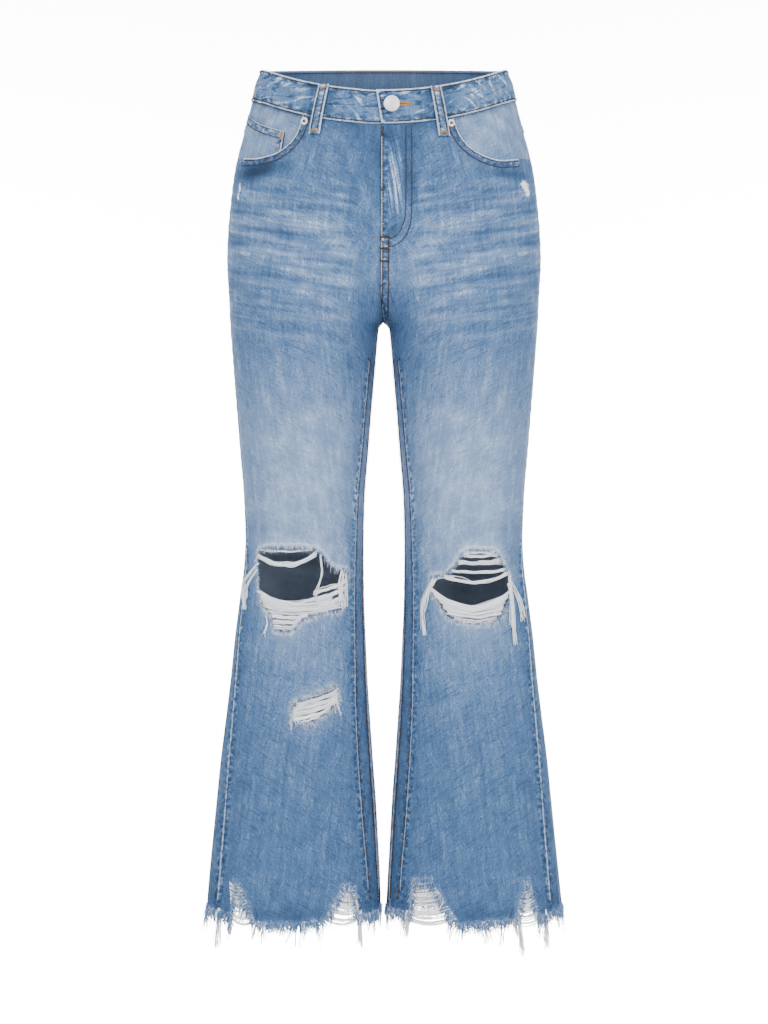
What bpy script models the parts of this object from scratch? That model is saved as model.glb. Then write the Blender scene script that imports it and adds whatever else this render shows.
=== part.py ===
"""High-rise kick-flare jeans with ripped knees, worn shape, no wearer. Metres, +Z up, the front faces -Y.

The origin is the middle of the waist opening, at half the height of the waistband's sides. The wearer's left
is +X. Every cloth piece is cut from one of two flat patterns, front or back, and laid on the garment's shape.
A place on a pattern is (across, height) in millimetres: across runs from the side line, forwards is negative.
"""

import math
import random

import bmesh
import bpy
import numpy as np
from mathutils import Matrix, Vector
from mathutils.geometry import delaunay_2d_cdt

MM = 0.001

# Cloth and seams, in mm
CLOTH = 1.4
BAND_CLOTH = 2.6
LOOP_CLOTH = 1.8
BAG_CLOTH = 1.0
YARN = 1.0
SEAM_GAP = 0.4

# Main heights, in mm from the origin
CROTCH = -258.5
FLY_BOTTOM = -158.0
FRONT_RISE_CURVE = 84.0
BACK_RISE_CURVE = 136.0

# The garment's half-sizes by height, in mm: the side's distance from the middle, and the depths fore and aft
LEVEL_COLUMNS = ("height", "outer", "front", "back")
LEVELS = (
    (50.0, 125.0, 85.0, 92.0),
    (17.5, 134.8, 90.0, 93.0),
    (0.0, 141.7, 93.0, 96.0),
    (-16.5, 145.2, 95.0, 99.0),
    (-36.0, 150.2, 97.0, 103.0),
    (-69.0, 158.4, 99.0, 109.0),
    (-91.0, 163.4, 100.0, 113.0),
    (-124.0, 167.8, 102.0, 118.0),
    (-168.0, 171.6, 104.0, 122.0),
    (-190.0, 172.2, 104.0, 121.0),
    (-234.0, 170.0, 102.0, 113.0),
    (-258.5, 168.9, 100.0, 105.0),
    (-289.0, 166.7, 97.0, 96.0),
    (-344.0, 162.3, 91.0, 87.0),
    (-399.0, 157.9, 84.0, 79.0),
    (-454.0, 153.5, 76.0, 72.0),
    (-493.0, 152.4, 70.0, 67.0),
    (-520.0, 153.4, 66.5, 66.0),
    (-564.0, 158.9, 63.0, 67.0),
    (-608.0, 164.4, 61.5, 69.0),
    (-652.0, 168.9, 61.0, 71.0),
    (-696.0, 174.3, 61.5, 73.0),
    (-740.0, 179.8, 62.0, 75.0),
    (-784.0, 184.2, 63.0, 77.0),
    (-828.0, 188.6, 64.5, 79.0),
    (-872.0, 193.0, 66.0, 81.0),
    (-910.0, 196.4, 67.0, 82.0),
    (-980.0, 202.0, 68.0, 84.0),
)

# Half the gap between the legs, in mm
GAP_COLUMNS = ("height", "inner")
LEG_GAP = (
    (-258.5, 0.0),
    (-260.5, 3.4),
    (-263.5, 5.2),
    (-270.0, 6.2),
    (-289.0, 8.0),
    (-344.0, 12.7),
    (-399.0, 17.0),
    (-454.0, 21.2),
    (-493.0, 22.2),
    (-520.0, 22.4),
    (-564.0, 21.6),
    (-608.0, 19.8),
    (-652.0, 17.8),
    (-696.0, 14.9),
    (-740.0, 11.8),
    (-784.0, 8.6),
    (-828.0, 6.2),
    (-872.0, 3.8),
    (-910.0, 2.6),
    (-980.0, 2.6),
)

# How far each leg seam has turned forwards from the outline, in mm
TURN_COLUMNS = ("height", "outseam", "inseam")
SEAM_TURN = (
    (60.0, 0.0, 0.0),
    (-300.0, 0.0, 0.0),
    (-440.0, 0.2, 0.9),
    (-490.0, 1.2, 1.2),
    (-520.0, 3.2, 1.5),
    (-564.0, 5.0, 1.8),
    (-620.0, 6.6, 2.2),
    (-674.0, 8.3, 2.5),
    (-729.0, 10.4, 2.8),
    (-784.0, 12.0, 3.0),
    (-840.0, 13.2, 3.2),
    (-980.0, 14.6, 3.5),
)

# The flat pattern's turn to millimetres across, for each radian round a leg
ROUND = 100.0
# Below 1 the sections are fuller at their corners than an ellipse
FULLNESS = 0.93
# The fly's edge lies this far to the wearer's right of the middle, in mm
FLY_EDGE = -3.0
FLY_FADE = 60.0


def smooth(rows, column, height):
    """One column of a table at a height, with a smooth run from row to row and no overshoot."""
    xs = [row[0] for row in rows]
    ys = [row[column] for row in rows]
    if xs[0] > xs[-1]:
        xs, ys = xs[::-1], ys[::-1]
    if height <= xs[0]:
        return ys[0]
    if height >= xs[-1]:
        return ys[-1]
    i = int(np.searchsorted(xs, height, side="right")) - 1
    slopes = [(ys[j + 1] - ys[j]) / (xs[j + 1] - xs[j]) for j in range(len(xs) - 1)]

    def tangent(k):
        if k == 0 or k == len(xs) - 1:
            return slopes[0] if k == 0 else slopes[-1]
        before, after = slopes[k - 1], slopes[k]
        return 0.0 if before * after <= 0 else 2 * before * after / (before + after)

    span = xs[i + 1] - xs[i]
    t = (height - xs[i]) / span
    start = (2 * t**3 - 3 * t**2 + 1) * ys[i] + (t**3 - 2 * t**2 + t) * span * tangent(i)
    end = (-2 * t**3 + 3 * t**2) * ys[i + 1] + (t**3 - t**2) * span * tangent(i + 1)
    return start + end


class Leg:
    """Half of the garment: one leg and the half of the hips above it. Side is 1 for the wearer's left."""

    def __init__(self, side):
        self.side = side

    def section(self, height, front):
        """The middle, half width and depth of the section at a height, on the front or the back."""
        outer = smooth(LEVELS, 1, height)
        depth = smooth(LEVELS, 2 if front else 3, height)
        inner = smooth(LEG_GAP, 1, height)
        if height <= CROTCH:
            return (outer + inner) / 2, (outer - inner) / 2, depth
        rise = FRONT_RISE_CURVE if front else BACK_RISE_CURVE
        share = max(0.0, 1.0 - (height - CROTCH) / rise)
        inner = LEG_GAP[0][1]
        middle = inner + share * (outer - inner) / (1 + share)
        return middle, outer - middle, depth

    def surface(self, across, height):
        """The outer face of the cloth at a place on the pattern."""
        turn = math.pi + across / ROUND
        middle, half, depth = self.section(height, across < 0 or turn > 2 * math.pi)
        x = middle - half * math.cos(turn)
        bulge = math.copysign(abs(math.sin(turn)) ** FULLNESS, math.sin(turn))
        y = -depth * bulge
        x = self.side * x
        if across < 0:
            x += self.fly_shift(height) * max(0.0, 1 - abs(x) / FLY_FADE) ** 2
        return Vector((x, y, height))

    def fly_shift(self, height):
        """How far the front's middle seam is moved sideways."""
        return FLY_EDGE * min(1.0, max(0.0, (height - CROTCH - 2) / 24))

    def place(self, across, height, out=0.0):
        """A point at a place on the pattern, moved out along the cloth's normal, in mm."""
        step = 0.5
        edge = -1e-4 if across < 0 else 1e-4
        before, after = across - step, across + step
        if before * after <= 0:
            before, after = (across - step, edge) if across < 0 else (edge, across + step)
        u = self.surface(after, height) - self.surface(before, height)
        v = self.surface(across, height + step) - self.surface(across, height - step)
        normal = u.cross(v).normalized() * self.side
        return self.surface(across, height) + out * normal

    def middle_edge(self, height, front):
        """The pattern place of the middle seam, or below the crotch of the inseam."""
        middle, half, _ = self.section(height, front)
        if height > CROTCH:
            turn = math.acos(max(-1.0, min(1.0, (middle - SEAM_GAP / 2) / half)))
        else:
            turn = 0.0
        gap = SEAM_GAP * 0.85
        if front:
            turn = max(turn, gap / ROUND)
            forward = self.seam_turn(height, 2)
            return ROUND * (max(turn, forward + gap / ROUND) - math.pi)
        turn = max(turn, gap / ROUND)
        if height <= CROTCH:
            turn = gap / ROUND - self.seam_turn(height, 2)
        return ROUND * (math.pi - turn)

    def seam_turn(self, height, column):
        """The angle that a leg seam has turned forwards."""
        _, half, _ = self.section(height, True)
        return math.acos(1 - smooth(SEAM_TURN, column, height) / half)

    def side_edge(self, height, front):
        """The pattern place of the side seam, half a seam gap to its own side."""
        gap = SEAM_GAP * 0.85 if front else -SEAM_GAP * 0.85
        return -ROUND * self.seam_turn(height, 1) - gap

    def across_at(self, x, height, front=True):
        """The pattern place of a point seen from straight in front, or straight behind."""
        x = self.side * x
        middle, half, _ = self.section(height, front)
        turn = math.acos(max(-1.0, min(1.0, (middle - x) / half)))
        return ROUND * (turn - math.pi) if front else ROUND * (math.pi - turn)


# The waistband's edges, in mm: height at the sides, and how far it falls at the front and rises at the back
BAND_COLUMNS = ("side", "fall at the front", "rise at the back")
BAND_TOP = (17.5, 32.5, 13.5)
BAND_BOTTOM = (-16.5, 35.3, 12.5)
BAND_OUT = 0.6
BAND_UNDER = -2.7
RING = math.pi * ROUND
UNDER_END = 25.0
OVER_END_TOP = -4.2
OVER_END_BOTTOM = 0.2

# The front pocket mouths, seen from the front: distance from the middle and height, in mm
MOUTH_COLUMNS = ("x", "height")
MOUTHS = {
    -1: ((87.0, -42.0), (88.7, -48.0), (94.0, -61.0), (101.7, -71.0), (116.0, -80.4), (136.0, -84.2), (152.0, -82.5)),
    1: ((74.5, -45.0), (76.0, -50.0), (82.0, -63.7), (92.0, -75.2), (107.0, -83.5), (124.7, -87.4), (145.0, -84.5)),
}
MOUTH_SIDE = -80.0
FACING_DEPTH = -112.0
BAG_DEPTH = -232.0
UNDER_GAP = 1.1

# Seams across the back, as heights in mm at the side and at the middle
YOKE_SEAM = (-50.0, -70.0)

# Pieces laid on the cloth, as places on the pattern
BACK_POCKET = ((47.0, -82.0), (132.0, -87.0), (128.0, -206.0), (90.0, -228.0), (54.0, -202.0))
COIN_POCKET = ((109.4, -56.7), (111.5, -70.0), (115.5, -98.0))

# Belt loops: side, front, and the x and height of the top and the bottom of its middle line, in mm
LOOP_COLUMNS = ("name", "side", "front", "top x", "top height", "bottom x", "bottom height")
LOOPS = (
    ("belt_loop_front_right", -1, True, 64.1, -8.5, 74.4, -62.0),
    ("belt_loop_front_left", 1, True, 55.1, -11.0, 64.3, -64.5),
    ("belt_loop_side_right", -1, False, 112.0, 19.0, 116.0, -32.0),
    ("belt_loop_side_left", 1, False, 112.0, 19.0, 116.0, -32.0),
)
LOOP_WIDTH = 12.0

# The rips, seen from the front in mm: rows of x, top and bottom
RIP_COLUMNS = ("x", "top", "bottom")
KNEE_RIGHT = (
    (-137.0, -515.0, -529.0),
    (-134.0, -507.5, -564.0),
    (-122.0, -506.5, -581.0),
    (-118.5, -506.5, -595.0),
    (-108.0, -506.4, -597.0),
    (-97.0, -506.4, -595.0),
    (-92.0, -506.4, -587.0),
    (-80.5, -507.0, -582.0),
    (-69.0, -511.5, -577.5),
    (-55.0, -527.0, -575.5),
    (-46.0, -530.0, -573.0),
    (-41.0, -530.5, -546.0),
    (-38.5, -531.5, -535.0),
)
KNEE_LEFT = (
    (50.0, -541.0, -551.0),
    (53.0, -537.0, -557.0),
    (66.0, -535.0, -577.5),
    (73.0, -529.0, -583.5),
    (80.0, -519.0, -585.5),
    (88.0, -510.0, -586.8),
    (100.0, -509.0, -588.0),
    (113.0, -509.6, -587.6),
    (121.0, -511.0, -585.5),
    (127.0, -520.0, -581.0),
    (133.0, -530.5, -570.0),
    (136.0, -535.5, -557.0),
    (137.8, -541.0, -548.0),
)
SHIN_RIGHT = (
    (-100.0, -680.0, -690.0),
    (-97.0, -673.0, -695.0),
    (-80.0, -667.5, -696.5),
    (-67.6, -661.0, -690.0),
    (-55.0, -656.0, -680.0),
    (-49.5, -663.0, -673.0),
)

# The open gaps between the loose threads of each rip: points of x and height, in mm
KNEE_RIGHT_GAPS = (
    ((-121.0, -509.2), (-99.0, -509.0), (-98.0, -511.2), (-120.0, -511.6)),
    ((-130.0, -513.6), (-80.0, -512.6), (-92.0, -519.5), (-106.0, -523.4), (-118.0, -520.6)),
    (
        (-134.3, -518.5),
        (-120.0, -525.0),
        (-106.0, -528.2),
        (-92.0, -524.5),
        (-77.0, -514.8),
        (-72.6, -515.5),
        (-73.2, -535.0),
        (-76.0, -559.5),
        (-88.0, -563.4),
        (-101.0, -564.5),
        (-113.0, -562.4),
        (-123.0, -558.5),
        (-132.0, -548.0),
    ),
    ((-70.6, -516.5), (-65.0, -520.0), (-54.5, -531.0), (-54.0, -545.0), (-62.0, -551.5), (-73.6, -558.0)),
    ((-50.5, -534.0), (-42.5, -534.0), (-44.5, -540.0), (-50.0, -546.5)),
    ((-116.0, -573.0), (-99.0, -574.5), (-98.0, -576.6), (-113.0, -576.0)),
)
KNEE_LEFT_GAPS = (
    ((86.0, -516.6), (119.0, -516.2), (121.0, -519.0), (84.0, -519.4)),
    ((78.0, -527.5), (92.0, -525.0), (121.0, -525.4), (126.0, -529.5), (100.0, -531.2)),
    ((75.0, -534.0), (100.0, -534.6), (129.0, -533.6), (125.0, -537.4), (112.0, -541.3), (100.0, -543.0), (88.0, -541.0)),
    (
        (52.6, -541.0),
        (66.0, -539.2),
        (84.0, -544.4),
        (100.0, -547.2),
        (116.0, -544.4),
        (131.0, -537.0),
        (134.6, -540.0),
        (134.2, -553.0),
        (127.0, -560.5),
        (117.0, -566.2),
        (99.0, -569.4),
        (85.0, -566.8),
        (71.0, -562.6),
        (60.0, -557.0),
        (52.8, -550.5),
    ),
    ((69.0, -571.0), (91.0, -575.6), (93.0, -578.0), (76.0, -575.6)),
    ((78.0, -580.4), (103.0, -582.4), (103.0, -584.2), (82.0, -583.0)),
)
SHIN_RIGHT_GAPS = (
    ((-78.0, -670.0), (-59.0, -660.8), (-58.0, -663.4), (-77.0, -672.8)),
    ((-84.0, -676.0), (-63.0, -667.0), (-62.0, -669.8), (-83.0, -679.0)),
    ((-92.0, -683.0), (-70.0, -676.0), (-69.0, -678.6), (-91.0, -686.0)),
)

# Chewed notches in the hems: distances from the middle at the outer foot, outer top, inner top, inner foot, and
# the height of the top, in mm
HEM_SIDE = -900.5
HEM_FALL = {True: 11.5, False: 8.0}
NOTCH_COLUMNS = ("outer foot", "outer top", "inner top", "inner foot", "top height")
NOTCHES = {
    (-1, True): ((166.0, 167.5, 157.0, 140.5, -868.5), (65.5, 44.0, 31.5, 29.5, -873.0)),
    (1, True): ((169.0, 157.0, 151.0, 142.0, -866.5), (80.0, 51.5, 31.5, 29.0, -865.5)),
    (-1, False): ((118.0, 110.0, 92.0, 86.0, -880.0),),
    (1, False): ((92.0, 84.0, 66.0, 58.0, -884.0),),
}
STRAND_SPACE = {True: 3.8, False: 5.9}
STRAND_LENGTHS = (9.0, 30.0)
THREAD_PITCH = 5.2
THREAD_GAP = 3.6

BUTTON = (7.2, -31.2)
RIVETS = (("rivet_right", -1, 85.4, -47.5), ("rivet_left", 1, 71.9, -50.0))


def band_edge(edge, across):
    """The height of one edge of the waistband above a place on the pattern."""
    side, fall, rise = edge
    turn = math.sin(math.pi + across / ROUND)
    return side - fall * turn**2 if across < 0 else side + rise * abs(turn)


def hem_height(across, front):
    """The height of the even hem at a place on the pattern."""
    return HEM_SIDE - HEM_FALL[front] * math.sin(across / ROUND) ** 2


def material(name, colour, metal=0.0, rough=0.9):
    """A plain material for one group of pieces."""
    made = bpy.data.materials.new(name)
    made.use_nodes = True
    shader = made.node_tree.nodes["Principled BSDF"]
    shader.inputs["Base Color"].default_value = (*colour, 1.0)
    shader.inputs["Metallic"].default_value = metal
    shader.inputs["Roughness"].default_value = rough
    made.diffuse_color = (*colour, 1.0)
    return made


def inside(point, ring):
    """Whether a flat point is inside a closed ring."""
    x, y = point
    found = False
    for (x0, y0), (x1, y1) in zip(ring, ring[1:] + ring[:1]):
        if (y0 > y) != (y1 > y) and x < x0 + (y - y0) * (x1 - x0) / (y1 - y0):
            found = not found
    return found


def distance_to(point, rings):
    """The distance from a flat point to the nearest edge of the rings."""
    least = 1e9
    for ring in rings:
        ends = np.array(ring)
        starts, stops = ends, np.roll(ends, -1, axis=0)
        along = stops - starts
        share = ((np.array(point) - starts) * along).sum(1) / np.maximum((along**2).sum(1), 1e-9)
        nearest = starts + np.clip(share, 0, 1)[:, None] * along
        least = min(least, float(np.sqrt(((nearest - np.array(point)) ** 2).sum(1)).min()))
    return least


def refined(ring, longest):
    """The ring with its long edges cut into shorter ones."""
    points = []
    for (x0, y0), (x1, y1) in zip(ring, ring[1:] + ring[:1]):
        count = max(1, math.ceil(math.hypot(x1 - x0, y1 - y0) / longest))
        for i in range(count):
            points.append((x0 + (x1 - x0) * i / count, y0 + (y1 - y0) * i / count))
    return points


def inset(ring, distance):
    """The ring moved inwards by a distance, corner by corner."""
    area = sum(a[0] * b[1] - b[0] * a[1] for a, b in zip(ring, ring[1:] + ring[:1]))
    sign = 1.0 if area > 0 else -1.0
    moved = []
    for before, here, after in zip(ring[-1:] + ring[:-1], ring, ring[1:] + ring[:1]):
        first = Vector((here[0] - before[0], here[1] - before[1])).normalized()
        second = Vector((after[0] - here[0], after[1] - here[1])).normalized()
        one = Vector((-first.y, first.x))
        two = Vector((-second.y, second.x))
        miter = one + two
        scale = 2.0 / max(0.5, miter.length_squared)
        moved.append((here[0] + sign * distance * miter.x * scale, here[1] + sign * distance * miter.y * scale))
    return moved


def area_tri(one, two, three):
    """The area of a flat triangle."""
    return abs((two - one).cross(three - one)) / 2


class Cutter:
    """Cuts flat pattern pieces, lays them on the garment and gives them thickness."""

    def __init__(self, collection):
        self.collection = collection
        self.materials = {}

    def finish(self, name, mesh_maker, finish):
        """A named object in the collection with its material."""
        mesh = bpy.data.meshes.new(name)
        mesh_maker.to_mesh(mesh)
        mesh_maker.free()
        made = bpy.data.objects.new(name, mesh)
        made.data.materials.append(finish)
        self.collection.objects.link(made)
        return made

    def sheet(self, name, ring, holes, lay, thickness, finish, step=(20.0, 30.0), longest=32.0):
        """A piece of cloth. Lay turns a place on the pattern into a point of its outer face, in mm."""
        rings = [refined(ring, longest)] + [refined(hole, longest) for hole in holes]
        points = []
        edges = []
        for loop in rings:
            first = len(points)
            points.extend(loop)
            edges.extend((first + i, first + (i + 1) % len(loop)) for i in range(len(loop)))
        low = np.min(rings[0], axis=0)
        high = np.max(rings[0], axis=0)
        row = 0
        height = math.ceil(low[1] / step[1]) * step[1]
        while height < high[1]:
            shift = 0.5 * step[0] * (row % 2)
            across = math.ceil((low[0] - shift) / step[0]) * step[0] + shift
            while across < high[0]:
                place = (across, height)
                if (
                    inside(place, rings[0])
                    and not any(inside(place, hole) for hole in rings[1:])
                    and distance_to(place, rings) > 0.42 * min(step)
                ):
                    points.append(place)
                across += step[0]
            height += step[1]
            row += 1
        flat = [Vector(point) for point in points]
        places, _, faces, *_ = delaunay_2d_cdt(flat, edges, [], 0, 1e-5, False)
        maker = bmesh.new()
        corners = [maker.verts.new(lay(place.x, place.y) * MM) for place in places]
        outward = None
        for face in faces:
            middle = sum((places[i] for i in face), Vector((0, 0))) / len(face)
            if not inside(middle, rings[0]) or any(inside(middle, hole) for hole in rings[1:]):
                continue
            if area_tri(*(places[i] for i in face)) < 0.02 and max(distance_to(places[i], rings) for i in face) < 0.01:
                continue
            made_face = maker.faces.new([corners[i] for i in face])
            outward = lay(middle.x, middle.y, 5.0) - lay(middle.x, middle.y)
        for corner in [vert for vert in maker.verts if not vert.link_faces]:
            maker.verts.remove(corner)
        maker.normal_update()
        if made_face.normal.dot(outward) < 0:
            bmesh.ops.reverse_faces(maker, faces=maker.faces[:])
        made = self.finish(name, maker, finish)
        shell = made.modifiers.new("thickness", "SOLIDIFY")
        shell.thickness = thickness * MM
        shell.offset = -1.0
        return made

    def turned(self, name, profile, spot, outward, finish, steps=20):
        """A round piece, from rows of radius and height in mm, standing on a spot and facing outward."""
        maker = bmesh.new()
        corners = [maker.verts.new((radius * MM, 0.0, height * MM)) for radius, height in profile]
        for one, two in zip(corners, corners[1:]):
            maker.edges.new((one, two))
        made = self.finish(name, maker, finish)
        spin = made.modifiers.new("turn", "SCREW")
        spin.axis = "Z"
        spin.steps = steps
        spin.render_steps = steps
        spin.use_merge_vertices = True
        spin.merge_threshold = 0.00001
        spin.use_normal_calculate = True
        turn = outward.to_track_quat("Z", "Y").to_matrix().to_4x4()
        made.data.transform(Matrix.Identity(4))
        made.matrix_world = Matrix.Translation(spot * MM) @ turn
        return made


class Jeans:
    """The whole garment: two legs, the hips, the waistband and everything sewn on them."""

    def __init__(self):
        for old in list(bpy.data.objects):
            bpy.data.objects.remove(old, do_unlink=True)
        collection = bpy.data.collections.new("ripped_jeans")
        bpy.context.scene.collection.children.link(collection)
        self.cutter = Cutter(collection)
        self.legs = {side: Leg(side) for side in (1, -1)}
        self.words = {1: "left", -1: "right"}
        self.denim = material("denim", (0.32, 0.46, 0.62))
        self.pale = material("bare yarn", (0.86, 0.87, 0.86))
        self.lining = material("pocket cloth", (0.82, 0.81, 0.77))
        self.metal = material("worn metal", (0.78, 0.77, 0.75), metal=1.0, rough=0.45)

    def seam_heights(self, low, high):
        """Heights along a panel's edge, closer together by the crotch."""
        heights = [CROTCH + up for up in (0.0, 0.7, 2.2, 5.0, 9.0, 15.0, 23.0, 33.0, 46.0, 62.0, 84.0, 110.0, 136.0, 162.0)]
        heights += [CROTCH - 0.02]
        heights += [CROTCH - down for down in (1.0, 2.0, 3.5, 6.0, 11.0, 20.0, 35.0, 55.0)]
        heights += [CROTCH - 80.0 - 26.0 * i for i in range(26)]
        return sorted([h for h in heights if low + 2 < h < high - 2], reverse=True)

    def hem_ring(self, side, front):
        """The hem from the side seam to the inseam, with its notches."""
        leg = self.legs[side]
        start = leg.side_edge(HEM_SIDE, front)
        stop = leg.middle_edge(HEM_SIDE - 4, front)
        way = 1.0 if stop > start else -1.0
        spans = []
        for outer_foot, outer_top, inner_top, inner_foot, top in NOTCHES[(side, front)]:
            low = HEM_SIDE - HEM_FALL[front]
            feet = [leg.across_at(side * x, low, front) for x in (outer_foot, inner_foot)]
            tops = [leg.across_at(side * x, top, front) for x in (outer_top, inner_top)]
            spans.append((feet[0], tops[0], tops[1], feet[1], top))
        spans.sort(key=lambda span: abs(span[0] - start))
        points = [(start, hem_height(start, front))]
        across = start
        for span in spans:
            while way * (across + way * 14 - span[0]) < -6:
                across += way * 14
                points.append((across, hem_height(across, front)))
            points.append((span[0], hem_height(span[0], front)))
            points.append((span[1], span[4]))
            points.append((span[2], span[4] - 1.5))
            points.append((span[3], hem_height(span[3], front)))
            across = span[3]
        while way * (across + way * 14 - stop) < -6:
            across += way * 14
            points.append((across, hem_height(across, front)))
        points.append((stop, hem_height(stop, front)))
        return points, spans

    def flat(self, side, rows, front=True):
        """Points of x and height, seen from in front, as places on the pattern."""
        return [(self.legs[side].across_at(x, height, front), height) for x, height in rows]

    def rip_ring(self, side, rows):
        """The outline of a rip as places on the pattern."""
        tops = [(x, top) for x, top, _ in rows]
        bottoms = [(x, bottom) for x, _, bottom in rows]
        return self.flat(side, tops + bottoms[::-1])

    def front_panel(self, side, rips):
        """One leg's front, from the waistband to the hem, with its pocket mouth and rips cut out."""
        leg = self.legs[side]
        mouth = self.flat(side, [(side * x, height) for x, height in MOUTHS[side]])
        corner = mouth[0][0]
        ring = [(corner, band_edge(BAND_BOTTOM, corner) - SEAM_GAP)]
        middle_top = leg.middle_edge(-50.0, True)
        for i in range(1, 4):
            across = corner + (middle_top - corner) * i / 4
            ring.append((across, band_edge(BAND_BOTTOM, across) - SEAM_GAP))
        ring.append((middle_top, band_edge(BAND_BOTTOM, middle_top) - SEAM_GAP))
        hem, _ = self.hem_ring(side, True)
        ring += [(leg.middle_edge(h, True), h) for h in self.seam_heights(hem[-1][1], -60.0)]
        ring += hem[::-1]
        ring += [(leg.side_edge(h, True), h) for h in self.seam_heights(hem[0][1], MOUTH_SIDE)[::-1]]
        ring.append((leg.side_edge(MOUTH_SIDE, True), MOUTH_SIDE))
        ring += mouth[:0:-1]
        self.cutter.sheet("front_panel_" + self.words[side], ring, rips, leg.place, CLOTH, self.denim)

    def back_pieces(self, side):
        """One leg's back and the yoke above it."""
        leg = self.legs[side]
        top = leg.middle_edge(-10.0, False)

        def seam(across):
            return YOKE_SEAM[0] + (YOKE_SEAM[1] - YOKE_SEAM[0]) * across / top

        count = 7
        lines = [top * i / count for i in range(count)] + [top]
        lines[0] = leg.side_edge(-50.0, False)
        yoke = [(a, band_edge(BAND_BOTTOM, a) - SEAM_GAP) for a in lines]
        yoke += [(a, seam(a) + SEAM_GAP / 2) for a in lines[::-1]]
        self.cutter.sheet("back_yoke_" + self.words[side], yoke, [], leg.place, CLOTH, self.denim)
        hem, _ = self.hem_ring(side, False)
        ring = [(a, seam(a) - SEAM_GAP / 2) for a in lines]
        ring += [(leg.middle_edge(h, False), h) for h in self.seam_heights(hem[-1][1], seam(top))]
        ring += hem[::-1]
        ring += [(leg.side_edge(h, False), h) for h in self.seam_heights(hem[0][1], seam(0.0))[::-1]]
        self.cutter.sheet("back_panel_" + self.words[side], ring, [], leg.place, CLOTH, self.denim)

        def laid(across, height, out=0.0):
            return leg.place(across, height, out + CLOTH + UNDER_GAP - 0.4)

        self.cutter.sheet(
            "back_pocket_" + self.words[side], list(BACK_POCKET), [], laid, CLOTH, self.denim, (11.0, 18.0), 13.0
        )

    def pocket_pieces(self, side):
        """The cloth behind a front pocket's mouth, the bag below it, and the coin pocket on one side."""
        leg = self.legs[side]
        depth = CLOTH + UNDER_GAP
        if side == -1:
            depth += 0.8
            shape = [(-2.0, -40.0)] + self.flat(side, [(-x, height) for x, height in COIN_POCKET])
            shape.append((-2.0, -99.0))
            shape[0] = (-2.0, band_edge(BAND_BOTTOM, -2.0) - 14.0)
            self.cutter.sheet(
                "coin_pocket",
                shape,
                [],
                lambda a, h, out=0.0, deep=depth: leg.place(a, h, out - deep),
                CLOTH,
                self.denim,
                (11.0, 15.0),
                12.0,
            )
            depth += CLOTH + UNDER_GAP
        inner = leg.across_at(side * (MOUTHS[side][0][0] - 20.0), -60.0)
        tops = [-1.0 + (inner + 1.0) * i / 5 for i in range(6)]
        ring = [(a, band_edge(BAND_BOTTOM, a) - SEAM_GAP) for a in tops]
        ring += [(inner, -84.0), (inner + 20.0, FACING_DEPTH), (-1.0, FACING_DEPTH)]
        self.cutter.sheet(
            "pocket_facing_" + self.words[side],
            ring,
            [],
            lambda a, h, out=0.0, deep=depth: leg.place(a, h, out - deep),
            CLOTH,
            self.denim,
            (12.0, 24.0),
            14.0,
        )
        depth += CLOTH + UNDER_GAP
        low = [(inner, -120.0), (inner + 4.0, -190.0), (inner + 24.0, BAG_DEPTH), (inner + 58.0, BAG_DEPTH)]
        ring = [(a, band_edge(BAND_BOTTOM, a) - SEAM_GAP) for a in tops] + low + [(-6.0, -190.0), (-3.0, -120.0)]
        self.cutter.sheet(
            "pocket_bag_" + self.words[side],
            ring,
            [],
            lambda a, h, out=0.0, deep=depth: leg.place(a, h, out - deep),
            BAG_CLOTH,
            self.lining,
            (12.0, 30.0),
            15.0,
        )

    def fly(self):
        """The strip behind the front opening."""

        def lay(x, height, out=0.0):
            side = 1 if x > 0 else -1
            across = self.legs[side].across_at(side * max(0.2, abs(x)), height)
            return self.legs[side].place(across, height, out - CLOTH - UNDER_GAP - 0.4)

        ring = [(-24.0, -54.0), (0.0, -54.0), (21.0, -54.0), (21.0, -120.0), (16.0, -154.0), (7.0, -172.0), (-7.0, -175.0)]
        ring += [(-19.0, -168.0), (-24.0, -152.0)]
        self.cutter.sheet("fly_shield", ring, [], lay, CLOTH, self.denim, step=(12.0, 20.0), longest=16.0)

    def ring_place(self, across, height, out=0.0):
        """A point of the waistband: across runs round the waist from the front's middle, to the wearer's left."""
        turn = across % (2 * RING)
        side = 1 if turn < RING else -1
        along = turn if side == 1 else 2 * RING - turn
        under = min(1.0, max(0.0, (across - (2 * RING - 24.0)) / 18.0))
        under = under * under * (3 - 2 * under)
        lift = BAND_OUT + (BAND_UNDER - BAND_OUT) * under
        place = along - RING / 2
        place = min(-1e-4, place) if place < 0 else max(1e-4, place)
        share = height / 34.0
        low = band_edge(BAND_BOTTOM, place)
        high = band_edge(BAND_TOP, place)
        return self.legs[side].place(place, low + (high - low) * share, out + lift)

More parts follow.
